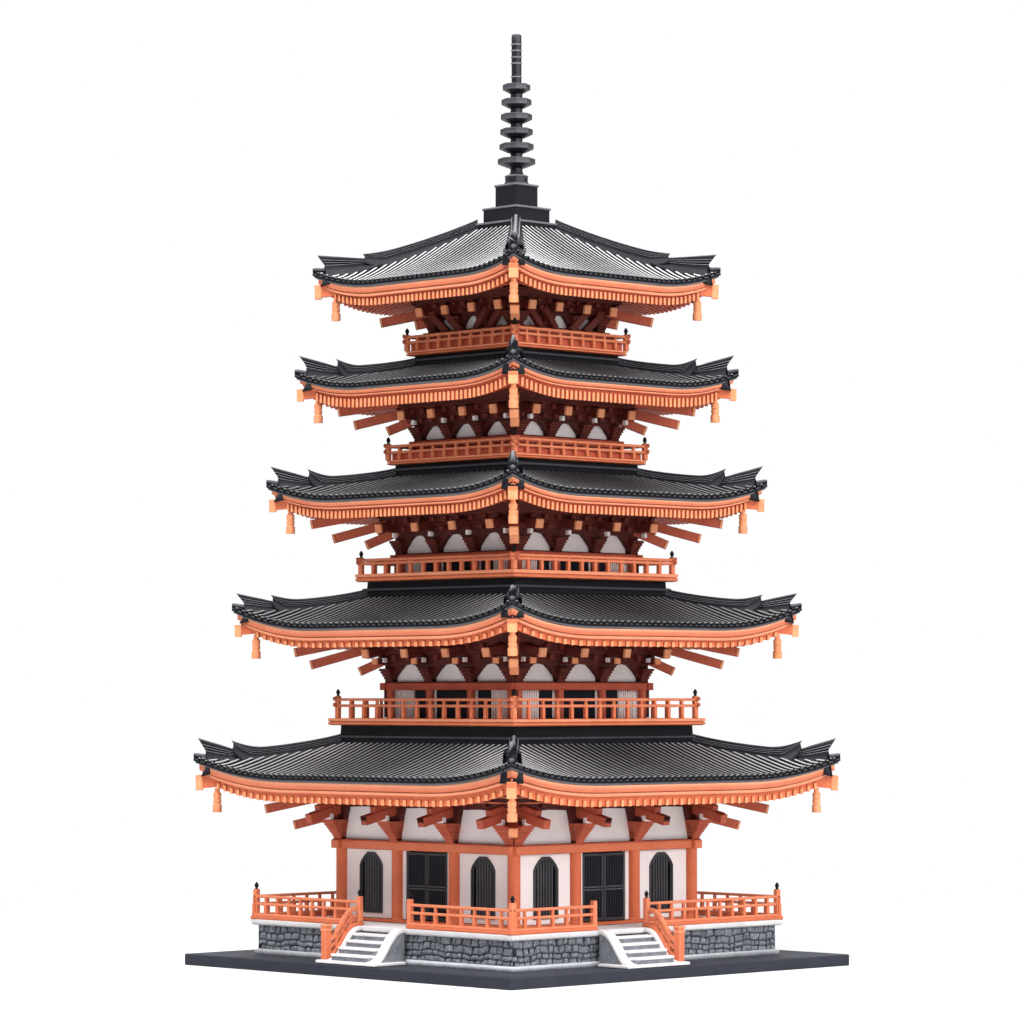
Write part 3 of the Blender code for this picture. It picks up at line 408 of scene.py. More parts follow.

# %% [markdown]
# ## Finishes
# The model's woods are painted, so the paint is what shows: a salmon orange that turns
# deeper where brushes left less of it, with painted highlights on its edges. The tiles are
# near black, with a painted highlight on every rib. Stone and plaster are rougher. Two
# effects are shared by several finishes, so each is a node group: mottling, which is two
# noises of unlike size, and painted top light, which lightens faces that look up.

# %% Node groups
def group_with(name, inputs, outputs):
    """An empty shader group with named value sockets."""
    tree = bpy.data.node_groups.new(name, "ShaderNodeTree")
    for label, value in inputs:
        socket = tree.interface.new_socket(label, in_out="INPUT", socket_type="NodeSocketFloat")
        socket.default_value = value
    for label in outputs:
        tree.interface.new_socket(label, in_out="OUTPUT", socket_type="NodeSocketFloat")
    return tree, tree.nodes.new("NodeGroupInput"), tree.nodes.new("NodeGroupOutput")


def maths(tree, operation, first, second=None, third=None, clamp=False):
    """A Math node on sockets or numbers."""
    node = tree.nodes.new("ShaderNodeMath")
    node.operation = operation
    node.use_clamp = clamp
    for socket, value in zip(node.inputs, (first, second, third)):
        if value is None:
            continue
        if isinstance(value, (int, float)):
            socket.default_value = value
        else:
            tree.links.new(value, socket)
    return node.outputs[0]


def noise(tree, scale):
    """Noise over object coordinates, with its scale from a socket."""
    coordinates = tree.nodes.new("ShaderNodeTexCoord")
    texture = tree.nodes.new("ShaderNodeTexNoise")
    texture.inputs["Detail"].default_value = 3.0
    tree.links.new(coordinates.outputs["Object"], texture.inputs["Vector"])
    tree.links.new(scale, texture.inputs["Scale"])
    return texture.outputs["Fac"]


def make_mottle():
    """Mask = (large noise + fine noise * Fineness) centred on a half, times Strength."""
    tree, given, result = group_with("mottle", [("Scale", 120), ("Fineness", 0.5),
                                                ("Strength", 1.0)], ["Mask"])
    large = noise(tree, given.outputs["Scale"])
    fine_scale = maths(tree, "MULTIPLY", given.outputs["Scale"], 9.0)
    fine = maths(tree, "MULTIPLY", maths(tree, "SUBTRACT", noise(tree, fine_scale), 0.5),
                 given.outputs["Fineness"])
    both = maths(tree, "ADD", maths(tree, "SUBTRACT", large, 0.5), fine)
    scaled = maths(tree, "MULTIPLY", both, given.outputs["Strength"])
    tree.links.new(maths(tree, "ADD", scaled, 0.5, clamp=True), result.inputs["Mask"])
    return tree


def make_top_light():
    """Painted top light: mask = how far a face looks up, raised to Falloff, broken by noise,
    times Amount.
    """
    tree, given, result = group_with("top_light", [("Amount", 0.3), ("Falloff", 2.0),
                                              ("Scale", 90)], ["Mask"])
    geometry = tree.nodes.new("ShaderNodeNewGeometry")
    parts = tree.nodes.new("ShaderNodeSeparateXYZ")
    tree.links.new(geometry.outputs["Normal"], parts.inputs[0])
    up = maths(tree, "POWER", maths(tree, "MAXIMUM", parts.outputs["Z"], 0.0),
               given.outputs["Falloff"])
    broken = maths(tree, "MULTIPLY_ADD", noise(tree, given.outputs["Scale"]), 1.2, 0.2)
    mask = maths(tree, "MULTIPLY", maths(tree, "MULTIPLY", up, broken), given.outputs["Amount"],
                 clamp=True)
    tree.links.new(mask, result.inputs["Mask"])
    return tree


MOTTLE, TOP_LIGHT = make_mottle(), make_top_light()
print("node groups:", MOTTLE.name, TOP_LIGHT.name)

# %% [markdown]
# ## Building a finish
# A finish starts from three tones of one paint or stone. Mottling moves between the
# base and the deep tone, and painted top light lays the pale one on what looks up. Where
# a part gives its points a crest, edges and ribs also turn to a tone of their own: a painted
# highlight, but the dark of the joints on the masonry. A fine bump from the same mottling
# breaks up the highlights.

# %% Making a finish
def use_group(tree, group, **values):
    """The mask of a shader group that is placed in a material with its own values."""
    node = tree.nodes.new("ShaderNodeGroup")
    node.node_tree = group
    for label, value in values.items():
        node.inputs[label].default_value = value
    return node.outputs["Mask"]


def blend_colours(tree, factor, first, second):
    """Mix of two colours, each a socket or three numbers."""
    node = tree.nodes.new("ShaderNodeMix")
    node.data_type = "RGBA"
    tree.links.new(factor, node.inputs["Factor"])
    for socket, value in ((node.inputs[6], first), (node.inputs[7], second)):
        if isinstance(value, tuple):
            socket.default_value = (*value, 1)
        else:
            tree.links.new(value, socket)
    return node.outputs[2]


def make_finish(name, base, deep, pale, roughness, mottle_scale, top_light=0.2, crest_to=None,
                crest_power=1.5, bump=0.02, fineness=0.6, specular=0.3):
    """A finish from three tones: base turns to deep by mottling, and to pale on faces that
    look up, as painted top light. With crest_to, raised edges of the piece also turn to
    that colour: a painted highlight, but the dark joints on the masonry."""
    material = bpy.data.materials.new(name)
    material.use_nodes = True
    tree = material.node_tree
    shader = tree.nodes["Principled BSDF"]
    mask = use_group(tree, MOTTLE, Scale=mottle_scale, Fineness=fineness, Strength=1.5)
    colour = blend_colours(tree, mask, deep, base)
    # Painted top light: faces that look up turn towards the pale tone.
    lit_top = use_group(tree, TOP_LIGHT, Amount=top_light, Falloff=3.0, Scale=mottle_scale * 0.8)
    colour = blend_colours(tree, lit_top, colour, pale)
    # Painted highlight: points with a crest turn towards crest_to (on the masonry, its dark joints).
    if crest_to:
        attribute = tree.nodes.new("ShaderNodeAttribute")
        attribute.attribute_name = "crest"
        raised = maths(tree, "POWER", attribute.outputs["Fac"], crest_power)
        raised = maths(tree, "MULTIPLY", raised, maths(tree, "MULTIPLY_ADD", mask, 0.4, 0.75),
                       clamp=True)
        colour = blend_colours(tree, raised, colour, crest_to)
    tree.links.new(colour, shader.inputs["Base Color"])
    rough = maths(tree, "MULTIPLY_ADD", mask, -0.12, roughness + 0.06)
    tree.links.new(rough, shader.inputs["Roughness"])
    relief = tree.nodes.new("ShaderNodeBump")
    relief.inputs["Strength"].default_value = 0.5
    relief.inputs["Distance"].default_value = bump * MM
    fine = use_group(tree, MOTTLE, Scale=mottle_scale * 6, Fineness=1.0, Strength=1.6)
    tree.links.new(fine, relief.inputs["Height"])
    tree.links.new(relief.outputs["Normal"], shader.inputs["Normal"])
    shader.inputs["Specular IOR Level"].default_value = specular
    FINISHES[name] = material


print("a finish uses", MOTTLE.name, "twice and", TOP_LIGHT.name, "once")

# %% Paints
# In these paints crest_to is a painted highlight on edges and lit parts, and pale is painted top light.
make_finish("orange_paint", (0.64, 0.152, 0.058), (0.52, 0.105, 0.042), (0.84, 0.31, 0.17), 0.5, 70,
            top_light=0.3, crest_to=(0.86, 0.36, 0.20), bump=0.03)
make_finish("light_paint", (0.80, 0.33, 0.16), (0.66, 0.22, 0.095), (0.92, 0.48, 0.28), 0.5, 90,
            top_light=0.3, bump=0.03)
make_finish("peach_paint", (0.53, 0.138, 0.063), (0.45, 0.10, 0.044), (0.80, 0.35, 0.20), 0.5, 70,
            top_light=0.3, crest_to=(0.83, 0.39, 0.235), bump=0.03)
# A deeper orange for the rafters, tails and other parts under the eaves, darkened further as painted
# shade.
make_finish("tail_paint", (0.47, 0.086, 0.042), (0.33, 0.052, 0.025), (0.60, 0.15, 0.08), 0.6, 90,
            top_light=0.25, crest_to=(0.60, 0.17, 0.09), bump=0.04)
# The brackets' dark red, darkened further as painted shade under the eaves.
make_finish("red_paint", (0.10, 0.0115, 0.0068), (0.045, 0.005, 0.0035), (0.20, 0.036, 0.018), 0.65,
            120, top_light=0.2, crest_to=(0.27, 0.047, 0.023), bump=0.05)
# The soffit's red, darkened almost to black as painted shade under the rafters.
make_finish("soffit_paint", (0.085, 0.0105, 0.0055), (0.04, 0.005, 0.0035), (0.15, 0.024, 0.012), 0.8,
            120, top_light=0.1, specular=0.1)
make_finish("plaster", (0.82, 0.765, 0.755), (0.74, 0.685, 0.69), (0.88, 0.85, 0.84), 0.85, 50,
            top_light=0.3, bump=0.03)
print("paints and plaster:", sorted(FINISHES))

# %% Tiles, lacquer, stone and metal
# Near black; crest_to is the painted highlight along each rib and on the end tiles.
make_finish("tile", (0.0055, 0.0055, 0.007), (0.0035, 0.0035, 0.0045), (0.012, 0.012, 0.015), 0.5,
            45, top_light=0.1, crest_to=(0.80, 0.79, 0.80), crest_power=1.0, bump=0.01,
            specular=0.06)
# crest_to: painted highlight lines on the ridges, the black edge and the corner rolls.
make_finish("ridge_tile", (0.0055, 0.006, 0.010), (0.0035, 0.0035, 0.006), (0.014, 0.015, 0.019),
            0.45, 60, top_light=0.1, crest_to=(0.36, 0.37, 0.40), crest_power=1.2, specular=0.08)
# crest_to: painted highlight lines on the collars' mouldings.
make_finish("black_paint", (0.007, 0.0075, 0.010), (0.004, 0.004, 0.006), (0.022, 0.023, 0.028),
            0.45, 90, top_light=0.15, crest_to=(0.07, 0.072, 0.085), specular=0.12)
# crest_to: painted highlights on the door and window frames and bars.
make_finish("door_black", (0.010, 0.0098, 0.012), (0.005, 0.005, 0.007), (0.03, 0.03, 0.036), 0.5,
            120, top_light=0.15, crest_to=(0.10, 0.10, 0.112), specular=0.10)
# A near-black sheet: the panel behind the bars of doors and windows, and in the upper walls the fill of
# the openings, as painted shade.
make_finish("pane", (0.008, 0.0105, 0.019), (0.005, 0.006, 0.011), (0.016, 0.019, 0.028), 0.4, 80,
            top_light=0.05, specular=0.12)
make_finish("slate", (0.034, 0.037, 0.050), (0.024, 0.027, 0.038), (0.072, 0.077, 0.094), 0.6, 120,
            top_light=0.6, bump=0.02, specular=0.12)
make_finish("white_slab", (0.80, 0.785, 0.79), (0.60, 0.59, 0.61), (0.90, 0.89, 0.90), 0.75, 90,
            top_light=0.4, bump=0.06)
# crest_to: painted highlight on the podium's foot and the stairs' grey stone.
make_finish("grey_slab", (0.24, 0.26, 0.29), (0.09, 0.10, 0.12), (0.60, 0.61, 0.65), 0.9, 150,
            top_light=0.6, crest_to=(0.66, 0.67, 0.70), bump=0.15, fineness=1.3, specular=0.15)
make_finish("masonry", (0.33, 0.35, 0.39), (0.085, 0.095, 0.115), (0.60, 0.62, 0.66), 0.9, 210,
            top_light=0.8, crest_to=(0.010, 0.012, 0.016), crest_power=0.8, bump=0.2, fineness=1.5,
            specular=0.1)
# crest_to: painted highlight on the finial's edges.
make_finish("metal", (0.0075, 0.008, 0.011), (0.004, 0.004, 0.006), (0.02, 0.022, 0.027), 0.4,
            70, top_light=0.1, crest_to=(0.17, 0.175, 0.20), specular=0.25)
print(len(FINISHES), "finishes")

# %% [markdown]
# ## The storeys in numbers
# The five storeys shrink upwards. One row holds what each needs: where its wall
# stands, where its eaves begin and end, and how far the corners lift. Halves are
# half sides of a square, heights are above the underside of the base plate.

# %% Storeys and balconies
Storey = namedtuple("Storey", [
    "wall", "door_column", "spread", "beam_top", "arch_top", "soffit", "fascia_bottom",
    "fascia_top", "hip_bottom", "hip_top", "hip_half", "lift", "edge", "tip", "top_half",
    "roof_top", "horn_half", "horn_top", "ridge_end_top", "tails", "side_tail",
    "rafter_pitch", "rib_pitch", "tile_light"])
# spread is how far the purlins step out, and tile_light how strong the painted highlight
# on the ribs is. A tail is the half and height of its end, and its slope: tails are the
# diagonal ones, and side_tail is that of each column.
STOREYS = [
    Storey(59.2, 19.6, 9.0, 60.2, 76.5, 79.0, 83.1, 88.6, 84.4, 90.9, 109.1, 8.2,
           107.1, 109.7, 61.2, 105.7, 96.3, 107.8, 109.0,
           [(85.5, 74.7, 0.22), (75.7, 67.0, 0.26)], (81.0, 70.5, 0.24), 4.9, 4.0, 1.15),
    Storey(41.8, 14.2, 7.0, 135.4, 144.4, 152.0, 154.8, 160.0, 158.2, 163.1, 96.0, 9.0,
           94.4, 96.8, 52.2, 175.5, 83.0, 177.9, 178.7,
           [(75.7, 149.9, 0.2), (70.2, 143.9, 0.28), (53.5, 140.7, 0.45)], (61.0, 149.2, 0.2),
           5.1, 4.0, 0.55),
    Storey(38.4, 13.0, 7.0, 197.0, 206.2, 213.4, 217.5, 221.1, 218.5, 223.6, 84.4, 7.5,
           82.9, 85.2, 42.7, 233.9, 70.7, 238.8, 240.0,
           [(70.2, 211.7, 0.18), (62.7, 204.7, 0.27), (51.4, 201.6, 0.42)],
           (55.5, 209.2, 0.18), 2.9, 3.9, 0.5),
    Storey(32.0, 10.9, 7.0, 251.8, 259.0, 266.7, 271.8, 275.1, 272.1, 277.0, 75.0, 7.0,
           73.4, 75.6, 36.1, 287.3, 61.0, 292.2, 293.7,
           [(61.0, 266.1, 0.14), (55.5, 259.6, 0.24), (44.2, 256.7, 0.4)],
           (47.0, 263.6, 0.16), 2.9, 3.5, 0.5),
    Storey(27.3, 9.3, 6.0, 304.3, 311.2, 315.9, 319.7, 324.6, 321.6, 327.5, 69.0, 6.7,
           66.9, 69.5, 14.9, 354.0, 51.8, 343.0, 342.5,
           [(46.6, 309.3, 0.2), (34.7, 308.1, 0.2)], (39.5, 313.6, 0.2), 2.9, 3.3, 2.8),
]
Balcony = namedtuple("Balcony", "collar moulding collar_top deck bottom top rail mid_rail "
                                "top_rail post_top reach bays")
BALCONIES = [
    Balcony(61.0, 109.4, 114.9, 64.3, 115.2, 118.4, 60.8, 124.4, 128.0, 130.6, 2.6, 13),
    Balcony(52.0, 180.0, 183.8, 55.1, 184.1, 187.7, 53.0, 192.8, 195.1, 197.2, 2.6, 12),
    Balcony(42.5, 237.9, 240.2, 44.4, 240.5, 242.7, 43.8, 246.4, 250.0, 252.2, 2.4, 11),
    Balcony(35.9, 290.9, 293.0, 37.9, 293.3, 295.6, 37.4, 299.7, 303.0, 305.0, 2.4, 10),
]
LIFT_START, LIFT_POWER = 0.42, 2.4
TIP_REACH = 2.5                # the eave's outermost part, which reaches out to the tip
EAVE_STEPS = 48                # points along one side of an eave
TILE_THICK = 2.4
SOFFIT_SLOPE = 0.22
RAFTER_SETBACK = 3.6
print(len(STOREYS), "storeys,", len(BALCONIES), "balconies")

# %% [markdown]
# ## The curve of the eaves
# An eave is straight in the middle of its side, and rises and reaches out towards the
# corners. All that follows it, from the tiles to the rafters, uses the same formulas.

# %% Curve of the eaves
def corner_rise(along):
    """Share of the corner lift: ((|along| - start) / (1 - start)) ^ power, 0 before it."""
    return np.clip((np.abs(along) - LIFT_START) / (1 - LIFT_START), 0, 1) ** LIFT_POWER


def lifted(storey, half, height, along):
    """Height with the corner lift: + lift * share^1.5 * rise, share from roof to edge."""
    share = np.clip((half - storey.top_half) / (storey.edge - storey.top_half), 0, None)
    return height + storey.lift * share ** 1.5 * corner_rise(along)


def roof_height(storey, half):
    """Height of the tiles at the middle of a side: edge + rise * share^1.25 inwards."""
    eave = storey.fascia_top + TILE_THICK
    share = np.clip((storey.edge - half) / (storey.edge - storey.top_half), 0, None)
    return eave + (storey.roof_top - eave) * share ** 1.25


def eaves_sweep(storey, profile, finish, crest=None, closed=False):
    """A profile of (half side, height) carried along all four sides of the eaves.
    Points rise towards the corners, and those at the very edge reach out to the tip."""
    along = np.sin(np.linspace(-1, 1, EAVE_STEPS) * math.pi / 2)[:, None]
    half, height = np.asarray(profile, float).T[:, None]
    rise = corner_rise(along)
    reach = (storey.tip - storey.edge) * np.clip(1 - (storey.edge - half) / TIP_REACH, 0, None)
    z = lifted(storey, half, height, along)
    out = half + reach * rise
    points = np.stack([along * out, -out, z], -1)
    side = part(points, [grid_faces(EAVE_STEPS, len(profile), wrap=closed)], finish,
                None if crest is None else np.broadcast_to(crest, z.shape))
    return joined(all_round([side]), weld=True)


print("corner lifts:", [storey.lift for storey in STOREYS])

# %% [markdown]
# ## Tiled roofs
# A roof like this is laid with flat pan tiles and half-round cover tiles that run down
# the slope in ribs. One side is a surface over two parameters: across the side, and
# down the slope from the hip to the eave. The rib is added as a small half circle in the
# cross direction. Each column of points starts where it meets the hip, so the
# ribs run parallel and are cut off by the hip, as real ones are.

# %% Tile surfaces
def hip_line(storey, half):
    """Height of the tiles along the diagonal."""
    share = np.clip((half - storey.top_half) / (storey.tip - storey.top_half), 0, None)
    level = half - (storey.tip - storey.edge) * share
    return roof_height(storey, level) + storey.lift * share ** 1.5


RIB_HEIGHT = 0.28              # of a cover tile, as a share of the pitch
RIB_SHARE = 0.54               # share of the pitch that a cover tile takes
RIB_SAMPLES = np.array([0.0, 0.24, 0.30, 0.41, 0.5, 0.59, 0.70, 0.76])
TILE_ROWS = 18                 # points from the hip down to the eave


def tile_side(storey):
    """Point (x, -h, z) with h from the hip, where it is |x|, or from just inside the
    roof's top, down to the eave, and z = roof height + corner lift + rib, a half circle
    of the distance from its middle. Crest is a painted highlight: highest on the middle
    of a rib, and growing towards the corners."""
    count = int(2 * storey.edge / storey.rib_pitch)
    first = -count * storey.rib_pitch / 2
    phase = np.tile(RIB_SAMPLES, count)
    x = first + (np.repeat(np.arange(count), len(RIB_SAMPLES)) + phase) * storey.rib_pitch
    x = np.concatenate([[-storey.edge], x, [-first, storey.edge]])
    phase = np.concatenate([[0], phase, [0, 0]])
    across = np.clip(1 - ((phase - 0.5) / (RIB_SHARE / 2)) ** 2, 0, 1)
    rib = np.sqrt(across)
    start = np.maximum(np.abs(x), storey.top_half - 2)
    v = np.linspace(0, 1, TILE_ROWS)[:, None]
    half = start + (storey.edge - start) * v
    along = x / half
    z = lifted(storey, half, roof_height(storey, half), along)
    z = z + rib * RIB_HEIGHT * storey.rib_pitch
    share = np.clip(1 - (storey.edge - half) / TIP_REACH, 0, 1)
    out = half + (storey.tip - storey.edge) * corner_rise(along) * share
    points = np.stack([along * out, -out, z], -1)
    # Painted highlight along the middle of each rib, stronger towards the corners.
    crest = across[None] ** 6 * (0.3 + 0.7 * np.abs(along) ** 2) * storey.tile_light
    surface = part(points, [grid_faces(TILE_ROWS, len(x))], "tile", crest)
    return surface._replace(faces=outward(surface.points, surface.faces, (0, -50, 1000)))


print("ribs on one side:", [int(2 * s.edge / s.rib_pitch) for s in STOREYS])

# %% [markdown]
# ## End tiles and the edge
# Each rib ends at the eave in a round tile with a raised rim, over a thick black edge.
# A larger roll lies on the corner, along the diagonal.

# %% End tiles and the edge
ROLL_SIDES = 10
ROLL_RADIUS = 1.75


def tile_ends(storey):
    """Round end tiles along one eave: a ring of ten points, carried through five depths
    that step in from the rim to a sunk face. The rim's upper half carries a painted highlight."""
    count = int(2 * storey.edge / storey.rib_pitch)
    x = (np.arange(count) + 0.5 - count / 2) * storey.rib_pitch
    along = x / storey.edge
    rise = corner_rise(along)
    out = storey.edge + (storey.tip - storey.edge) * rise
    z = storey.fascia_top + TILE_THICK + storey.lift * rise + 0.25
    radius = 0.29 * storey.rib_pitch
    turn = np.arange(ROLL_SIDES) * 2 * math.pi / ROLL_SIDES
    ring = np.stack([np.cos(turn), np.sin(turn)], -1) * radius
    depth = np.array([[-1.2, 1.0], [0.25, 1.0], [0.42, 0.78], [0.34, 0.7], [0.34, 0.3]])
    points = np.zeros((count, len(depth), ROLL_SIDES, 3))
    points[..., 0] = (along * out)[:, None, None] + ring[None, None, :, 0] * depth[None, :, None, 1]
    points[..., 1] = -(out[:, None, None] + depth[None, :, None, 0])
    points[..., 2] = z[:, None, None] + ring[None, None, :, 1] * depth[None, :, None, 1]
    end = np.arange(ROLL_SIDES)[None]
    faces = [grid_faces(len(depth), ROLL_SIDES, wrap=True), end + (len(depth) - 1) * ROLL_SIDES,
             end[:, ::-1]]
    faces = repeated(faces, count, len(depth) * ROLL_SIDES)
    glow = np.array([0.0, 0.2, 0.7, 0.0, 0.0])[None, :, None] * np.clip(np.sin(turn), 0, 1) ** 2
    glow = np.broadcast_to(glow, points.shape[:3])
    ends = part(points, faces, "tile", glow)
    return ends._replace(faces=outward(ends.points, ends.faces))


def roof_edge(storey):
    """The thick black edge under the tiles: a closed strip along all four eaves."""
    e, top = storey.edge, storey.fascia_top + TILE_THICK
    profile = [(e - 6, top - 0.6), (e + 0.1, top - 0.05), (e + 0.2, top - 0.5),
               (e + 0.2, top - 1.3), (e - 0.15, top - 1.5), (e - 0.1, top - 2.2),
               (e - 0.7, top - 2.42), (e - 6, top - 2.42)]
    # Painted highlight lines along the corners of the edge's profile.
    crest = np.array([0, 0.4, 0.05, 0.0, 0.25, 0.4, 0.3, 0])
    return eaves_sweep(storey, profile, "ridge_tile", crest=crest, closed=True)


def corner_roll(storey):
    """The round tile at an eave's corner: a ten-sided roll along the diagonal that
    rises to its tip."""
    s = np.linspace(0, 1, 8)
    half = storey.tip - 9.0 + 9.3 * s
    z = hip_line(storey, half) + 0.3 + 0.8 * s ** 2
    radius = ROLL_RADIUS * np.array([1, 1, 1, 1, 1, 1, 1, 0.72])
    turn = np.arange(ROLL_SIDES) * 2 * math.pi / ROLL_SIDES
    side = np.cos(turn)[None] * radius[:, None] * math.sqrt(0.5)
    out = half[:, None] + 0 * side
    level = z[:, None] + np.sin(turn)[None] * radius[:, None]
    points = np.stack([out + side, -out + side, level], -1)
    # A painted highlight on the roll's upper half.
    glow = np.broadcast_to(np.clip(np.sin(turn), 0, 1)[None] * 0.55, points.shape[:2])
    return sweep(points, "ridge_tile", glow)


def make_roof(number, storey):
    """Tiles, end tiles and the black edge of one roof."""
    tiles = joined(all_round([tile_side(storey)]))
    under = square_ring([(storey.top_half - 1, storey.roof_top - 3.5),
                         (storey.top_half + 0.2, storey.roof_top - 2.6),
                         (storey.top_half + 0.2, storey.roof_top + 0.9),
                         (storey.top_half - 1, storey.roof_top + 1.1)], "ridge_tile")
    piece("roof_tiles_%d" % number, [tiles, under],
          replaces=["roof_%d" % number], sharp=50)
    piece("tile_ends_%d" % number,
          all_round([tile_ends(storey), corner_roll(storey)]) + [roof_edge(storey)],
          sharp=40)


for number, storey in enumerate(STOREYS, 1):
    make_roof(number, storey)
print("tiles:", tally)

# %% [markdown]
# ## Hip ridges
# Each hip carries a ridge of stacked flat tiles under a round cap. It comes down in two
# runs: the upper one ends in an upturned horn, and a lower one goes on to the
# corner and sweeps up. A run is a layered cross-section carried down the hip. Each
# station has its own foot, top and lean, so one formula gives horn and sweep.

# %% Ridge runs
RIDGE_HALF_WIDTH = 1.75
RIDGE_HEIGHT = 4.8             # over the tiles
RIDGE_LAYERS = 3
RIDGE_FOOT = 0.34              # height share of the plain foot


def ridge_section():
    """Half widths, heights from 0 at the foot to 1 at the top, and the painted highlight on
    each point: a skirt that flares below the foot, flat tiles, and a round cap."""
    width, height = [2.9, 2.7, 1.7, 1.25], [-0.75, -0.35, 0.02, RIDGE_FOOT]
    glow = [0.0, 0.12, 0.12, 0.0]
    step = (0.78 - RIDGE_FOOT) / RIDGE_LAYERS
    for layer in range(RIDGE_LAYERS):
        low = RIDGE_FOOT + step * layer
        width += [1.2, 1.2, 1.2, 0.95]
        height += [low + 0.1 * step, low + 0.45 * step, low + 0.6 * step, low + 0.7 * step]
        glow += [0.0, 0.1, 0.95, 0.0]
    for angle in np.radians([0, 30, 60, 85]):
        width.append(0.66 * math.cos(angle))
        height.append(0.80 + 0.20 * math.sin(angle))
        glow.append(0.8 * math.sin(angle) ** 4)
    return np.array(width), np.array(height), np.array(glow)


def ridge_run(station, foot, top, lean, width):
    """Section points (out, across, z): out = station + lean t^2, z = foot + (top - foot) t."""
    w, t, glow = ridge_section()
    w, t, glow = (np.concatenate([a, a[::-1] * s]) for a, s in ((w, -1), (t, 1), (glow, 1)))
    out = station[:, None] + lean[:, None] * t[None] ** 2
    across = width[:, None] * w[None]
    z = foot[:, None] + (top - foot)[:, None] * t[None]
    root = math.sqrt(0.5)
    diagonal = out * math.sqrt(2)
    points = np.stack([diagonal * root + across * root, -diagonal * root + across * root, z], -1)
    return sweep(points, "ridge_tile", np.broadcast_to(glow, z.shape))


def make_ridges(number, storey):
    """Both runs of all four hips. The horn's foot rises with it, so that it ends thin."""
    start, horn, end = storey.top_half - 1.6, storey.horn_half, storey.tip - 1.0
    s = np.linspace(0, 1, 24)
    station = start + (horn - start) * s
    line = hip_line(storey, station)
    top = line + RIDGE_HEIGHT
    peak = storey.horn_top - top[-1]
    top = top + peak * np.clip((s - 0.7) / 0.3, 0, 1) ** 2
    rising = np.clip((s - 0.84) / 0.16, 0, 1) ** 0.8
    foot = line - 0.5 + (top - 2.6 - line + 0.5) * rising
    lean = 0.9 * np.clip((s - 0.8) / 0.2, 0, 1) ** 2
    width = RIDGE_HALF_WIDTH * (1 - 0.2 * rising)
    upper = ridge_run(station, foot, top, lean, width)
    s = np.linspace(0, 1, 20)
    station = horn - 6 + (end - 3.4 - horn + 6) * s
    foot = hip_line(storey, station) - 0.5
    low = hip_line(storey, np.array([horn]))[0] + 3.4
    top = low + (storey.ridge_end_top - low) * s ** 1.8
    lean = 3.4 * np.clip((s - 0.6) / 0.4, 0, 1) ** 1.5
    lower = ridge_run(station, foot, top, lean, np.full(20, RIDGE_HALF_WIDTH * 1.04))
    piece("hip_ridges_%d" % number, all_round([upper, lower]), sharp=40)


for number, storey in enumerate(STOREYS, 1):
    make_ridges(number, storey)
print("ridges:", tally)

# %% [markdown]
# ## Eaves: fascia boards, soffit and rafters
# Under the tiles run two light fascia boards with a groove between them, then a row of
# rafters whose ends are painted lighter, and the soffit boards above them, their dark red
# darkened further as painted shade.
# The boards are one profile carried along the curved eave.

# %% Fascia boards and soffit
def fascia(number, storey):
    """Two stepped boards on the curve of the eave, with painted highlights along their upper
    edges, the soffit boards inwards, and a strip that closes the gaps behind the rafters'
    tips, darker on the upper storeys as painted shade."""
    e, top, low = storey.edge, storey.fascia_top, storey.fascia_bottom
    step = low + (top - low) * 0.36
    boards = [(e - 7, top - 0.02), (e - 0.9, top - 0.02), (e - 0.75, top - 0.25),
              (e - 0.8, top - (top - step) * 0.45), (e - 0.8, step + 0.45),
              (e - 1.0, step + 0.2), (e - 1.9, step + 0.15),
              (e - 1.9, step - 0.1), (e - 1.4, step - 0.2), (e - 1.3, step - 0.4),
              (e - 1.3, low + 0.4), (e - 1.6, low + 0.2), (e - 3.0, low + 0.2),
              (e - 7, low + 0.3)]
    glow = np.array([0, 0.7, 0.9, 0.35, 0.1, 0.0, 0, 0, 0.4, 0.8, 0.35, 0.0, 0, 0])
    fronts = eaves_sweep(storey, boards, "peach_paint", crest=glow, closed=True)
    inner = storey.wall + 1
    run = storey.edge - RAFTER_SETBACK - inner
    soffit = [(e - 2.9, low + 0.18), (inner, low + 0.18 + SOFFIT_SLOPE * run),
              (inner, low + 1.6 + SOFFIT_SLOPE * run), (e - 2.9, low + 1.2)]
    ceiling = eaves_sweep(storey, soffit, "soffit_paint", closed=True)
    tip = e - RAFTER_SETBACK
    strip = [(tip - 1.4, storey.soffit + 0.5), (tip, storey.soffit), (tip + 0.3, storey.soffit + 0.2),
             (tip + 0.5, low + 0.4), (tip - 1.4, low + 0.4)]
    tips = eaves_sweep(storey, strip, "orange_paint" if number < 3 else "tail_paint",
                       crest=np.array([0, 0.2, 0.3, 0, 0]), closed=True)
    return [fronts, ceiling, tips]


print("fascia heights:", [round(s.fascia_top - s.fascia_bottom, 1) for s in STOREYS])

# %% [markdown]
# ## Rafters
# A rafter follows the soffit inwards and the lift of the eave, so it isn't a straight
# box: it is a rectangle swept through four stations, from the brackets out to its tip.
# A lighter block closes the tip. The two lower storeys have fewer and flatter rafters.

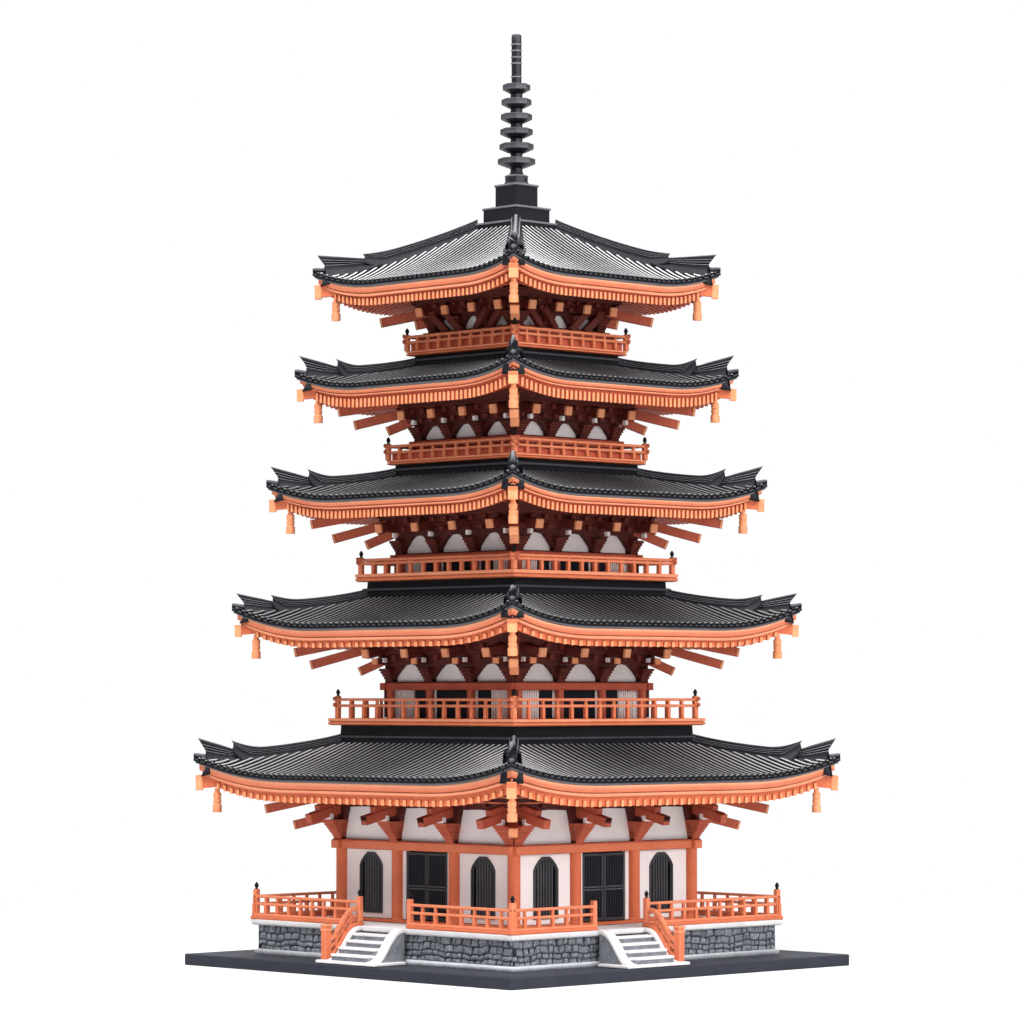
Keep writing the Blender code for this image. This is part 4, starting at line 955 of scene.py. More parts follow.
# %% Rafters
def rafters(number, storey):
    """One side's rafters. Point = (x +- half width, -half, soffit + slope * way inwards
    + corner lift, with the height added for the upper edge)."""
    width = (0.36 if number < 3 else 0.46) * storey.rafter_pitch
    tip = storey.edge - RAFTER_SETBACK + 0.9
    count = int((2 * tip - 6) / storey.rafter_pitch)
    x = (np.arange(count) + 0.5 - count / 2) * storey.rafter_pitch
    root = np.minimum(np.maximum(np.abs(x) + 1.5, storey.wall + 2), tip - 1.5)
    v = np.linspace(0, 1, 4)
    half = root[:, None] + (tip - root)[:, None] * v[None]
    inward = storey.edge - RAFTER_SETBACK - half
    height = min(2.9 if number < 3 else 4.2, storey.fascia_bottom - storey.soffit - 0.4)
    low = lifted(storey, half, storey.soffit + SOFFIT_SLOPE * inward, x[:, None] / half)
    top = low + height
    points = np.zeros((count, 4, 4, 3))
    for corner, (side, level) in enumerate(((-1, low), (1, low), (1, top), (-1, top))):
        points[:, :, corner, 0] = x[:, None] + side * width / 2
        points[:, :, corner, 1] = -half
        points[:, :, corner, 2] = level
    faces = repeated([grid_faces(4, 4, wrap=True), np.array([[3, 2, 1, 0]])], count, 16)
    # Painted light: a rafter turns lighter towards its tip, where it comes out of the eave's shade.
    glow = np.broadcast_to(np.array([0, 0, 0.1, 0.3])[:, None], (count, 4, 4))
    run = part(points, faces, "tail_paint", glow)
    run = run._replace(faces=outward(run.points, run.faces))
    centres = np.stack([x, -np.full(count, tip + 0.1), (low + top)[:, -1] / 2], -1)
    return [run, blocks(centres, (width, 0.9, height), "light_paint", chamfer=0.2)]


print("rafter pitches:", [storey.rafter_pitch for storey in STOREYS])

# %% [markdown]
# ## Corners of the eaves
# Under each hip a thick diagonal rafter runs out to the corner, and its end is painted
# lighter. A turned pendant with grooves hangs from it.

# %% Corners of the eaves
PENDANT_INSET = 7.2            # from the hip rafter's end


def hip_rafter(storey):
    """The diagonal rafter under a hip: a bar, and a slightly thicker and lighter end."""
    root, tip = storey.wall + 3, storey.hip_half
    middle = (storey.hip_bottom + storey.hip_top) / 2
    height = storey.hip_top - storey.hip_bottom
    inner = middle + SOFFIT_SLOPE * (tip - root) * 0.6
    bar = bars((root, -root, inner), (tip, -tip, middle), 4.2, height, "orange_paint", crest=0.15)
    end = bars((tip - 2.2, -tip + 2.2, middle - 0.3), (tip + 0.05, -tip - 0.05, middle - 0.3), 4.4,
               height + 0.8, "light_paint", crest=0.6)
    return [bar, end]


def pendant(storey):
    """A turned pendant under the hip rafter: three grooved swells."""
    reach, hang = storey.hip_half - PENDANT_INSET, storey.hip_bottom + 0.4
    profile = [(2.1, -11.6), (2.2, -11.2), (2.2, -8.2), (1.9, -7.9), (1.6, -7.5), (1.9, -7.0),
               (2.0, -5.6), (1.6, -5.2), (1.9, -4.8), (2.0, -2.8), (1.5, -2.2), (1.2, -1.6),
               (1.2, 0)]
    crest = [0, 0.4, 0.4, 0.5, 0, 0.5, 0.5, 0, 0.4, 0.5, 0, 0, 0]
    return [lathes(profile, (reach, -reach, hang), 16, "light_paint", crest=crest)]


for number, storey in enumerate(STOREYS, 1):
    slope = rafters(number, storey) + hip_rafter(storey) + pendant(storey)
    piece("eaves_boards_%d" % number, fascia(number, storey) + all_round(slope),
          replaces=["eaves_%d" % number], sharp=30)
print("eaves:", tally)

# %% [markdown]
# ## Bracket work
# Columns carry the eaves through brackets: a capital of slabs that widen upwards, then
# blocks, arms and slanting tails that reach out. The construction already has the
# body of this work with its plaster arches. Here it gets what makes it read as joinery,
# beginning with the slabs and the white blocks on them.

# %% Capitals
def side_places(storey):
    """Column places along one side, from corner to corner."""
    return np.array([-storey.wall, -storey.door_column, storey.door_column, storey.wall])


def stacks(number, storey):
    """Thin slabs on each column, wider and further out from one to the next. The ground
    storey's stacks are taller and reach further. White blocks lie on all but the top
    storey's."""
    slabs, rise, reach, spread = (9, 9.4, 9.6, 8.8) if number == 1 else (5, 6.4, 6.2, 7.2)
    share = np.arange(slabs) / (slabs - 1)
    x = side_places(storey)
    out = 3.0 + (reach - 3.0) * share
    wide = 5.2 + (spread - 5.2) * share ** 1.3
    z = storey.beam_top + 0.4 + rise * (np.arange(slabs) + 0.5) / slabs
    centres = np.stack([np.repeat(x, slabs), np.tile(-storey.wall - out / 2, 4), np.tile(z, 4)], -1)
    sizes = np.stack([np.tile(wide, 4), np.tile(out + 1.0, 4), np.full(4 * slabs, 0.97 * rise / slabs)],
                     -1)
    if number == 1:
        top = np.stack([x, np.full(4, -storey.wall - reach + 0.7), np.full(4, z[-1] + 1.9)], -1)
        return [blocks(centres, sizes, "tail_paint", chamfer=0.3, crest=0.5),
                blocks(top, (5.2, 2.2, 2.8), "plaster", chamfer=0.25)]
    items = [blocks(centres, sizes, "red_paint", chamfer=0.25, crest=0.25)]
    if number < 5:
        level = storey.side_tail[1] - 3.0
        shifts = (-1.9, 1.9) if number == 2 else (2.2,)
        top = [(place + shift, -storey.wall - 8.0, level) for place in x for shift in shifts]
        items.append(blocks(top, (2.0, 2.4, 2.3), "plaster", chamfer=0.25))
    return items


print("columns of the ground storey at", side_places(STOREYS[0]))

# %% [markdown]
# ## Arms, braces and purlins
# Between the capitals and the soffit lie beams that step outwards, with small blocks
# under them. Above the ground storey all are dark red, darkened further as painted shade,
# and mostly fill the shade with edges. Storey 2 adds arms with light ends, and storey 5
# adds slanting braces.

# %% Arms, braces and purlins
PURLIN_TIERS = 3
BLOCKS_ON_A_TIER = 10


def bearing_blocks(number, storey):
    """Purlins that step outwards and up, and blocks under the two lower ones, at even
    steps along the side, half a step apart from one tier to the next."""
    x = side_places(storey)
    items = []
    if number == 2:
        for near, far, finish in ((3, 11.6, "red_paint"), (11.6, 12.8, "light_paint")):
            level = storey.side_tail[1] - 3.6
            items.append(blocks([(place, -storey.wall - (near + far) / 2, level) for place in x],
                                (3.6, far - near, 2.9), finish, chamfer=0.2, crest=0.3))
    if number == 5:
        for side in (-1, 1):
            for foot, head in ((14.5, 25.5), (5.0, 15.0)):
                items.append(bars((side * head, -storey.wall - 6.4, storey.arch_top + 2.4),
                                  (side * foot, -storey.wall - 4.6, storey.beam_top - 0.6), 2.6, 3.4,
                                  "red_paint", crest=0.3))
    start = storey.arch_top + 1.2
    ceiling = storey.soffit + SOFFIT_SLOPE * (storey.edge - RAFTER_SETBACK - storey.wall
                                              - storey.spread - 3)
    rise = (ceiling - start) / PURLIN_TIERS
    for tier in range(PURLIN_TIERS):
        out = storey.wall + 3.2 + storey.spread * (tier + 1) / PURLIN_TIERS
        z = start + rise * (tier + 0.82)
        items.append(bars((-out - 2.4, -out, z), (out + 2.4, -out, z), 1.6, rise * 0.3,
                          "orange_paint" if number == 1 else "red_paint", crest=0.3))
    count = BLOCKS_ON_A_TIER
    spots = np.linspace(-storey.wall - 2, storey.wall + 2, count)
    for tier in (0, 1):
        out = storey.wall + 3.9 + storey.spread * (tier + 1) / PURLIN_TIERS
        z = start + rise * (tier + 0.34)
        places = spots + tier * (spots[1] - spots[0]) / 2
        centres = np.stack([places, np.full(count, -out), np.full(count, z)], -1)
        items.append(blocks(centres, (2.6, 2.4, rise * 0.6), "red_paint", chamfer=0.25, crest=0.4))
    return items


print("purlins and blocks on a side:", PURLIN_TIERS, 2 * BLOCKS_ON_A_TIER)

# %% [markdown]
# ## Tails
# Slanting timbers run out from every column, and two or three more on each diagonal,
# down to painted ends. They are what shows against the light under the corners.

# %% Tails
TAIL_WIDTH, TAIL_HEIGHT = 4.2, 4.2
TAIL_END = 1.2


def light_ended(starts, ends, finish):
    """Bars of one finish whose last part is light and a little thicker."""
    starts, ends = np.atleast_2d(np.asarray(starts, float)), np.atleast_2d(np.asarray(ends, float))
    along = (ends - starts) / np.linalg.norm(ends - starts, axis=1, keepdims=True)
    wide, high = TAIL_WIDTH + 0.1, TAIL_HEIGHT + 0.1
    return [bars(starts, ends - TAIL_END * along, wide, high, finish, chamfer=0.2, crest=0.3),
            bars(ends - (TAIL_END + 0.05) * along, ends + 0.05 * along, wide + 0.1, high + 0.1,
                 "light_paint", chamfer=0.25, crest=0.3)]


def tails(number, storey):
    """A slanting tail out from each column, and longer ones on the diagonal. The ground
    storey's columns have plain ones, with a shorter arm above each."""
    half, height, slope = storey.side_tail
    root = storey.wall + 1.5
    x = side_places(storey)
    inner = height + slope * (half - root)
    starts = np.stack([x, np.full(4, -root), np.full(4, inner)], -1)
    ends = np.stack([x, np.full(4, -half), np.full(4, height)], -1)
    if number == 1:
        lift = np.array([0, 0, 3.4])
        items = [bars(starts, ends, TAIL_WIDTH + 0.1, TAIL_HEIGHT + 0.1, "tail_paint", crest=0.3),
                 bars(starts + lift, ends + lift + [0, 5.5, 1.3], 3.6, 3.4, "tail_paint", crest=0.2)]
    else:
        items = light_ended(starts, ends, "red_paint")
    for half, height, slope in storey.tails:
        inner = (root, -root, height + slope * (half - root) * math.sqrt(2))
        items += light_ended(inner, (half, -half, height), "tail_paint")
    return items


for number, storey in enumerate(STOREYS, 1):
    items = stacks(number, storey) + bearing_blocks(number, storey) + tails(number, storey)
    piece("bracket_blocks_%d" % number, all_round(items), sharp=30)
print("brackets:", tally)

# %% [markdown]
# ## Balconies and railings
# A balcony stands on a black stepped collar. Its deck is a light board over a darker
# one with a rounded nose. Rails run at two heights over a row of posts, and cross and
# project at the corners, where taller posts carry black caps. The same function makes
# every straight run, so the veranda on the podium uses it too.

# %% Railings
CAP_PROFILE = [(0.75, 0), (0.75, 0.5), (0.55, 0.7), (0.95, 1.3), (1.05, 1.9), (0.8, 2.6),
               (0.35, 3.2), (0.1, 3.5)]


def railing(start, end, line, levels, bays, end_reach=(0, 0)):
    """One straight run along x at y = -line: thick posts to the middle rail, slim ones
    above it, and two rails. Rails that reach past the posts end in small upturned tips."""
    foot, mid, top = levels
    places = np.linspace(start, end, bays + 1)
    row = np.full(len(places), -line)
    items = []
    for low, high, wide in ((foot, mid, 1.8), (mid, top - 1, 1.35)):
        centres = np.stack([places, row, np.full(len(places), (low + high) / 2)], -1)
        items.append(blocks(centres, (wide, wide, high - low), "orange_paint", chamfer=0.2, crest=0.3))
    first, last = start - end_reach[0], end + end_reach[1]
    for level, wide, high in ((mid, 1.6, 1.3), (top - 0.65, 1.9, 1.3)):
        items.append(blocks(((first + last) / 2, -line, level), (last - first, wide, high),
                            "orange_paint", chamfer=0.35, crest=0.5))
    if end_reach[0] > 0:
        caps = [(x, -line, level) for x in (first + 0.1, last - 0.1) for level in (mid + 0.5, top - 0.2)]
        items.append(blocks(caps, (1.2, 1.5, 1.7), "tail_paint", chamfer=0.4, crest=0.5))
    return items


print("a post's cap is", CAP_PROFILE[-1][1], "mm high")


# %% Balconies
def capped_post(x, y, foot, top, width=2.4):
    """A square post with a black onion cap."""
    post = blocks((x, y, (foot + top) / 2), (width, width, top - foot), "orange_paint",
                  chamfer=0.3, crest=0.45)
    return [post, lathes(CAP_PROFILE, (x, y, top - 0.1), 12, "black_paint")]


def make_balcony(number, b):
    """Collar, deck and railing of one storey. Behind the two upper railings a dark board
    stands for the shade there, as painted shade.
    """
    low = STOREYS[number - 2].roof_top - 1.0
    # The moulding's edge carries a painted highlight line.
    collar = square_ring([(b.collar, low), (b.collar, b.moulding - 0.8),
                          (b.collar + 0.6, b.moulding - 0.5), (b.collar + 0.8, b.moulding + 0.3),
                          (b.collar + 0.2, b.moulding + 0.8), (b.collar - 1.0, b.moulding + 0.9),
                          (b.collar - 1.2, b.collar_top + 0.1)], "black_paint",
                         crest=[0, 0, 0.4, 1, 0.3, 0, 0])
    middle = (b.bottom + b.top) / 2
    deck = square_ring([(b.deck - 1.4, b.bottom - 0.2), (b.deck - 0.6, b.bottom),
                        (b.deck - 0.1, b.bottom + 0.35), (b.deck - 0.1, middle - 0.25),
                        (b.deck - 0.7, middle - 0.1), (b.deck - 0.7, middle + 0.1),
                        (b.deck - 0.1, middle + 0.25), (b.deck, middle + 0.5),
                        (b.deck, b.top - 0.25), (b.deck - 0.25, b.top)], "orange_paint",
                       crest=[0, 0.1, 0.4, 0.1, 0, 0, 0.6, 0.8, 0.7, 0.6])
    run = railing(-b.rail, b.rail, b.rail, (b.top, b.mid_rail, b.top_rail), b.bays,
                  (b.reach, b.reach))
    # A dark board behind the railing: painted shade.
    if number > 3:
        run.append(blocks((0, -b.rail + 1.4, (b.top + b.mid_rail) / 2),
                          (2 * b.rail - 3, 0.8, b.mid_rail - b.top), "tail_paint"))
    posts = capped_post(b.rail, -b.rail, b.top, b.post_top - 1.5)
    name = "balcony_rails_%d" % number
    piece("collar_box_%d" % number, [collar], replaces=["collar_%d" % number])
    piece(name, [deck] + all_round(run + posts), replaces=["balcony_%d" % number])


for number, balcony in enumerate(BALCONIES, 2):
    make_balcony(number, balcony)
print("balconies:", tally)

# %% [markdown]
# ## Upper walls
# Behind the railings a strip of wall shows, under a head beam in a deeper orange that is
# partly painted shade. The middle bay has an opening with white jambs, filled by a near-black
# sheet as painted shade. Each outer bay has a dark window, the same sheet of painted shade,
# and, next to it, a panel with white bars. The white wall behind them is the construction's.

# %% Upper walls
OPENING_SHARE = 0.76           # of the middle bay
WINDOW_SHARE = 0.30            # of an outer bay
PANEL_BARS = 7


def upper_wall(storey, b):
    """Columns, head beam, the opening of the middle bay of one side, and a window beside
    a barred panel in each outer bay."""
    foot, top = b.top, storey.beam_top - 3.4
    x = side_places(storey)
    line = storey.wall + 2.0
    middle, high = (foot + top) / 2, top - foot
    items = [lathes([(1.9, foot), (1.9, top + 0.3)], np.stack([x, -np.full(4, line), 0 * x], -1), 16,
                    "tail_paint", crest=[0.5, 0.5])]
    items.append(blocks((0, -storey.wall - 2.6, storey.beam_top - 1.8),
                        (2 * storey.wall + 11, 3.4, 3.5), "tail_paint", crest=0.2, chamfer=0.3))
    bay = 2 * storey.door_column
    # A near-black sheet fills the opening as painted shade of the inside.
    items.append(blocks((0, -storey.wall - 0.3, middle), (OPENING_SHARE * bay, 0.9, high), "pane",
                        chamfer=0.1))
    jambs = [(side * 0.39 * bay, -storey.wall - 0.7, middle) for side in (-1, 1)]
    items.append(blocks(jambs, (0.9, 1.0, high), "plaster", chamfer=0.15))
    bay = storey.wall - storey.door_column
    for side in (-1, 1):
        near = side * (storey.door_column + 0.28 * bay)
        # The window is the same near-black sheet, as painted shade.
        items.append(blocks((near, -storey.wall - 0.3, middle), (WINDOW_SHARE * bay, 0.9, high),
                            "pane", chamfer=0.1))
        places = side * (storey.door_column + bay * np.linspace(0.48, 0.82, PANEL_BARS))
        centres = np.stack([places, np.full(PANEL_BARS, -storey.wall - 0.5),
                            np.full(PANEL_BARS, middle)], -1)
        items.append(blocks(centres, (0.035 * bay, 0.9, high), "plaster", chamfer=0.1))
    return items


for number, (storey, balcony) in enumerate(zip(STOREYS[1:], BALCONIES), 2):
    piece("upper_wall_%d" % number, all_round(upper_wall(storey, balcony)))
print("upper walls:", tally)

# %% [markdown]
# ## Ground storey
# Round orange columns stand before white plaster walls and carry a head beam whose ends
# cross and project. The columns are turned, and the beam is one block on each side.

# %% Columns and beam
GROUND = STOREYS[0]
FLOOR_TOP = 23.4
BEAM_BOTTOM = 56.2
COLUMN_RADIUS = 3.0


def ground_columns():
    """Three of a side's four columns, on low round bases: the last one is the next
    side's first."""
    x = side_places(GROUND)[:3]
    places = np.stack([x, -np.full(3, GROUND.wall), 0 * x], -1)
    shaft = [(COLUMN_RADIUS + 0.5, FLOOR_TOP), (COLUMN_RADIUS + 0.5, FLOOR_TOP + 0.8),
             (COLUMN_RADIUS, FLOOR_TOP + 1.1), (COLUMN_RADIUS, BEAM_BOTTOM + 0.4)]
    return [lathes(shaft, places, 32, "orange_paint", crest=[0.2, 0.5, 0.1, 0.1])]


def head_beam():
    """The beam over the columns, with its two ends past the corners."""
    span = GROUND.wall + 5.1
    z = (BEAM_BOTTOM + GROUND.beam_top) / 2
    beam = blocks((0, -GROUND.wall - 0.2, z), (2 * span, 5.2, GROUND.beam_top - BEAM_BOTTOM),
                  "orange_paint", chamfer=0.35, crest=0.25)
    strip = blocks((0, -GROUND.wall - 0.4, GROUND.beam_top + 0.15), (2 * span - 3, 5.6, 0.5),
                   "tail_paint", chamfer=0.1)
    return [beam, strip]


piece("columns_and_beam", all_round(ground_columns() + head_beam()),
      replaces=["ground_frame"])
print("columns and beam:", tally)

# %% [markdown]
# ## Bell-shaped windows
# The windows have a black frame in two steps and upright bars before a dark sheet. A
# frame is a small rectangle carried round the window's outline, and the bars end where
# the arch is, read off the same outline.

# %% Windows
WINDOW_MIDDLE, WINDOW_WIDTH = 38.6, 15.6
WINDOW_BOTTOM, WINDOW_SPRING, WINDOW_TOP = 26.2, 48.6, 54.6
WINDOW_ARCH = np.array([(1.0, 0.0), (0.86, 0.34), (0.58, 0.74), (0.3, 1.0)])
WINDOW_BARS = 6
WALL_FACE = 58.9


def window_path(middle, inset):
    """Outline of a bell-shaped window: upright sides, then the arch as shares of half
    width and rise, up to a small flat top."""
    half = WINDOW_WIDTH / 2 - inset
    rise = WINDOW_TOP - WINDOW_SPRING - inset
    arch_x = half * WINDOW_ARCH[:, 0]
    arch_z = WINDOW_SPRING + rise * WINDOW_ARCH[:, 1]
    foot = [WINDOW_BOTTOM + inset]
    x = np.concatenate([[half], arch_x, -arch_x[::-1], [-half]])
    z = np.concatenate([foot, arch_z, arch_z[::-1], foot])
    return np.stack([middle + x, z], -1)


def window_frame(middle, inset, width, out, depth):
    """A rectangle between two window outlines, from the wall's face outwards."""
    outer, inner = window_path(middle, inset), window_path(middle, inset + width)
    front = -(WALL_FACE + out)
    back = front + depth
    section = np.stack([np.insert(outer, 1, front, 1), np.insert(inner, 1, front, 1),
                        np.insert(inner, 1, back, 1), np.insert(outer, 1, back, 1)], 1)
    closed = np.concatenate([section, section[:1]])
    points = closed.reshape(-1, 3)
    faces = outward(points, [grid_faces(len(closed), 4, wrap=True)])
    # The frame's front face carries a painted highlight.
    return joined([part(points, faces, "door_black", np.tile([0.6, 0.6, 0, 0], len(closed)))],
                  weld=True)


def window_bars(middle):
    """Upright bars whose tops follow the arch."""
    count = WINDOW_BARS
    x = np.linspace(-1, 1, count + 2)[1:-1] * (WINDOW_WIDTH / 2 - 1.4)
    half = WINDOW_WIDTH / 2 - 0.8
    share = np.interp(np.abs(x) / half, WINDOW_ARCH[::-1, 0], WINDOW_ARCH[::-1, 1])
    top = WINDOW_SPRING + (WINDOW_TOP - WINDOW_SPRING - 0.8) * share
    low = WINDOW_BOTTOM + 0.6
    centres = np.stack([middle + x, np.full(count, -WALL_FACE + 0.6), (top + low) / 2], -1)
    sizes = np.stack([np.full(count, 0.8), np.full(count, 1.3), top - low], -1)
    return blocks(centres, sizes, "door_black", chamfer=0.25, crest=0.9)


windows = []
for middle in (-WINDOW_MIDDLE, WINDOW_MIDDLE):
    windows.append(window_frame(middle, inset=-0.2, width=0.9, out=0.55, depth=1.4))
    windows.append(window_frame(middle, inset=0.7, width=0.6, out=0.2, depth=1.4))
    windows.append(window_bars(middle))
piece("bell_windows", all_round(windows))
print("windows:", tally)

# %% [markdown]
# ## Doors
# Each doorway has two black leaves: a frame with a double middle rail and close upright
# bars. A leaf turns on the jamb, so it is a piece of its own on the body of its leaf.

# %% Doors
DOOR_EDGE, DOOR_MIDDLE = 14.0, 0.2
DOOR_LOW, DOOR_HIGH, DOOR_THICK = 23.8, 55.5, 1.4


def door_leaf(sign):
    """Stiles, rails, a thin panel and upright bars, in the south doorway."""
    width = DOOR_EDGE - DOOR_MIDDLE
    middle = sign * (DOOR_EDGE + DOOR_MIDDLE) / 2
    y = -WALL_FACE + DOOR_THICK / 2
    height = DOOR_HIGH - DOOR_LOW
    z = (DOOR_LOW + DOOR_HIGH) / 2
    items = [blocks((middle, y + 0.2, z), (width - 0.4, 0.6, height - 0.4), "pane", chamfer=0.05)]
    stiles = [(middle + side * (width / 2 - 0.6), y, z) for side in (-1, 1)]
    # crest: painted highlights on the black leaf, strongest on the double middle rail.
    items.append(blocks(stiles, (1.2, DOOR_THICK, height), "door_black", chamfer=0.15, crest=0.6))
    rails = [(middle, y, DOOR_LOW + 0.7), (middle, y, DOOR_HIGH - 0.7)]
    items.append(blocks(rails, (width - 0.2, DOOR_THICK - 0.1, 1.3), "door_black", chamfer=0.15,
                        crest=0.6))
    pair = [(middle, y, DOOR_LOW + height * share) for share in (0.46, 0.50)]
    items.append(blocks(pair, (width - 0.2, DOOR_THICK - 0.1, 0.6), "door_black", chamfer=0.15,
                        crest=1.0))
    bars_x = np.linspace(-1, 1, 8)[1:-1] * (width / 2 - 0.9) + middle
    centres = np.stack([bars_x, np.full(len(bars_x), y - 0.15), np.full(len(bars_x), z)], -1)
    items.append(blocks(centres, (0.5, 0.8, height - 1), "door_black", chamfer=0.14, crest=0.35))
    return items


for turns, side in enumerate(["south", "east", "north", "west"]):
    for hand, sign in (("left", -1), ("right", 1)):
        name = "door_%s_%s" % (side, hand)
        leaf = [turned(item, turns) for item in door_leaf(sign)]
        piece("leaf_%s_%s" % (side, hand), leaf, body=name, replaces=[name])
print("doors:", tally)

# %% [markdown]
# ## Podium, cap and base plate
# The podium is laid in rough blocks. Its face is a height field: rows of unequal height,
# each cut in stones of unequal width, with dark joints, rounded edges and pitted
# faces. The distance to the nearest joint gives both the relief and the joint's colour.

# %% Masonry
PLATE_TOP = 5.4
PODIUM_HALF = 87.7
PODIUM_LOW, PODIUM_HIGH = 7.9, 19.3
CELL = 0.42                    # step of the height field
COURSES = np.array([PODIUM_LOW - 0.9, 9.9, 12.4, 15.9, PODIUM_HIGH + 1.0])
STONES = 80                    # drawn for a course, more than it needs
STONE_WIDTHS = (2.6, 6.8)
ROUNDING, JOINT = 0.9, 0.5


def masonry_side(seed):
    """Relief = shape * (2 - shape) * each stone's own height + pitting, with shape the
    distance to the nearest joint, 0 to 1. The stones' widths, slants and heights are
    drawn from a seeded generator."""
    rng = np.random.default_rng(seed)
    columns = int(2 * PODIUM_HALF / CELL)
    levels = int((PODIUM_HIGH - PODIUM_LOW) / CELL)
    x = np.linspace(-PODIUM_HALF, PODIUM_HALF, columns)
    z = np.linspace(PODIUM_LOW, PODIUM_HIGH, levels)
    wave = 0.45 * np.sin(x / 7.3 + seed) + 0.35 * np.sin(x / 3.1 + 2 * seed)
    wave = wave + 0.2 * np.sin(x / 1.3 + 3 * seed)
    relief = np.zeros((levels, columns))
    joint = np.zeros((levels, columns))
    zz = z[:, None] + wave[None]
    for low, high in zip(COURSES, COURSES[1:]):
        inside = (zz >= low) & (zz < high)
        edges = np.cumsum(rng.uniform(*STONE_WIDTHS, STONES)) - PODIUM_HALF - 4
        slant = rng.uniform(-0.4, 0.4, STONES)
        place = x[None] - (zz - low) * 0.12
        stone = np.clip(np.searchsorted(edges, place.ravel()).reshape(place.shape), 1, STONES - 1)
        left = place - edges[stone - 1] - slant[stone - 1] * (zz - low)
        right = edges[stone] + slant[stone] * (zz - low) - place
        near = np.minimum(np.minimum(left, right), np.minimum(zz - low, high - zz))
        shape = np.clip(near / ROUNDING, 0, 1)
        own = rng.uniform(-0.2, 0.4, STONES)[stone]
        relief = np.where(inside, (shape * (2 - shape)) * (0.75 + own), relief)
        joint = np.where(inside, 1 - np.clip(near / JOINT, 0, 1), joint)
    pits = rng.normal(0, 1, (levels, columns))
    soft = (pits + np.roll(pits, 1, 0) + np.roll(pits, 1, 1) + np.roll(pits, (1, 1), (0, 1))) / 4
    relief = relief + 0.17 * soft * (1 - joint)
    # The deepest pits take the joints' dark colour too.
    joint = np.clip(joint + 0.35 * np.clip(-soft - 0.35, 0, 1), 0, 1)
    fade = np.clip((PODIUM_HALF - np.abs(x)) / 1.0, 0, 1)[None]
    out = PODIUM_HALF + (relief - 0.45) * fade
    xx = np.broadcast_to(x[None], out.shape)
    points = np.stack([xx, -out, np.broadcast_to(z[:, None], out.shape)], -1)
    side = part(points, [grid_faces(levels, columns)], "masonry", joint)
    return side._replace(faces=outward(side.points, side.faces, (0, -2000, 15)))


print("grid of one side:", int(2 * PODIUM_HALF / CELL), "x", int((PODIUM_HIGH - PODIUM_LOW) / CELL))

# %% Podium and cap
walls = [turned(masonry_side(seed), seed) for seed in QUARTERS]
# The foot's upper edge carries a painted highlight.
foot = square_ring([(PODIUM_HALF + 1.3, PLATE_TOP + 0.1), (PODIUM_HALF + 1.4, PLATE_TOP + 0.4),
                    (PODIUM_HALF + 1.4, PODIUM_LOW - 0.5), (PODIUM_HALF + 0.9, PODIUM_LOW - 0.1),
                    (PODIUM_HALF - 1.0, PODIUM_LOW + 0.1)], "grey_slab", crest=[0, 0.2, 0.9, 0.9, 0])
core = square_ring([(PODIUM_HALF - 0.9, PODIUM_LOW - 1), (PODIUM_HALF - 0.9, PODIUM_HIGH)],
                   "grey_slab")
piece("podium_masonry", walls + [foot, core], replaces=["podium"], sharp=60)
cap = square_ring([(88.2, 19.2), (89.6, 19.4), (90.2, 19.9), (90.4, 20.2), (90.5, 21.7),
                   (90.2, 22.0)], "white_slab", crest=[0, 0, 0.2, 0.3, 0.6, 0.6])
piece("cap_slab", [cap], replaces=["podium_cap"])
print("podium:", tally)

# %% [markdown]
# ## Veranda
# Railings run round the podium's cap and stop at the stairs, none of which stands in the
# very middle of its side. Posts beside the stairs and at the corners carry black caps.

# %% Veranda
VERANDA_LINE = 88.4
VERANDA_REACH = 2.4
STAIR_OFFSETS = [2, -18, 2, -18]     # south, east, north, west
STAIR_WIDTH, STAIR_RUN = 35.0, 19.5
RAIL_SIDES = [-1, 1, -1, 1]          # which side of its stair carries the sloping rail
RAIL_INWARD = 2.5
CAP_TOP = 22.0
VERANDA_BAY = 8.6
VERANDA_LEVELS = (24.6, 29.3, 33.6)  # foot of the posts, middle rail, top
POST_OFFSET = 1.14             # from a run's end to the middle of its capped post
POST_FOOT, STAIR_POST_TOP, CORNER_POST_TOP = 24.0, 35.6, 36.4


def veranda_run(start, end, bays):
    """Thick two-stepped sill on the cap, then the railing."""
    sill = blocks(((start + end) / 2, -VERANDA_LINE, CAP_TOP + 0.85), (end - start, 4.0, 1.5),
                  "orange_paint", chamfer=0.3, crest=0.2)
    upper = blocks(((start + end) / 2, -VERANDA_LINE, CAP_TOP + 2.15), (end - start - 0.6, 3.0, 1.3),
                   "orange_paint", chamfer=0.35, crest=0.5)
    return [sill, upper] + railing(start + 1.1, end - 1.1, VERANDA_LINE, VERANDA_LEVELS, bays)


def veranda_side(turns):
    """Both runs of one side, their posts and a corner's. The run that carries the
    sloping rail comes a bit further in, so that its end stands over the stair's edge."""
    offset, hand = STAIR_OFFSETS[turns], RAIL_SIDES[turns]
    inward = [RAIL_INWARD if hand == side else 0 for side in (-1, 1)]
    left_end = offset - STAIR_WIDTH / 2 + inward[0]
    right_start = offset + STAIR_WIDTH / 2 - inward[1]
    outer = VERANDA_LINE + VERANDA_REACH
    items = []
    for start, end in ((-outer, left_end), (right_start, outer)):
        items += veranda_run(start, end, round((end - start) / VERANDA_BAY))
    for x in (left_end - POST_OFFSET, right_start + POST_OFFSET):
        items += capped_post(x, -VERANDA_LINE, POST_FOOT, STAIR_POST_TOP, 2.5)
    return items + capped_post(VERANDA_LINE, -VERANDA_LINE, POST_FOOT, CORNER_POST_TOP, 2.6)


veranda = [turned(item, turns) for turns in QUARTERS for item in veranda_side(turns)]
piece("veranda_railing", veranda,
      replaces=["veranda_rail_" + corner for corner in
                ("south_east", "north_east", "north_west", "south_west")])
print("veranda:", tally)

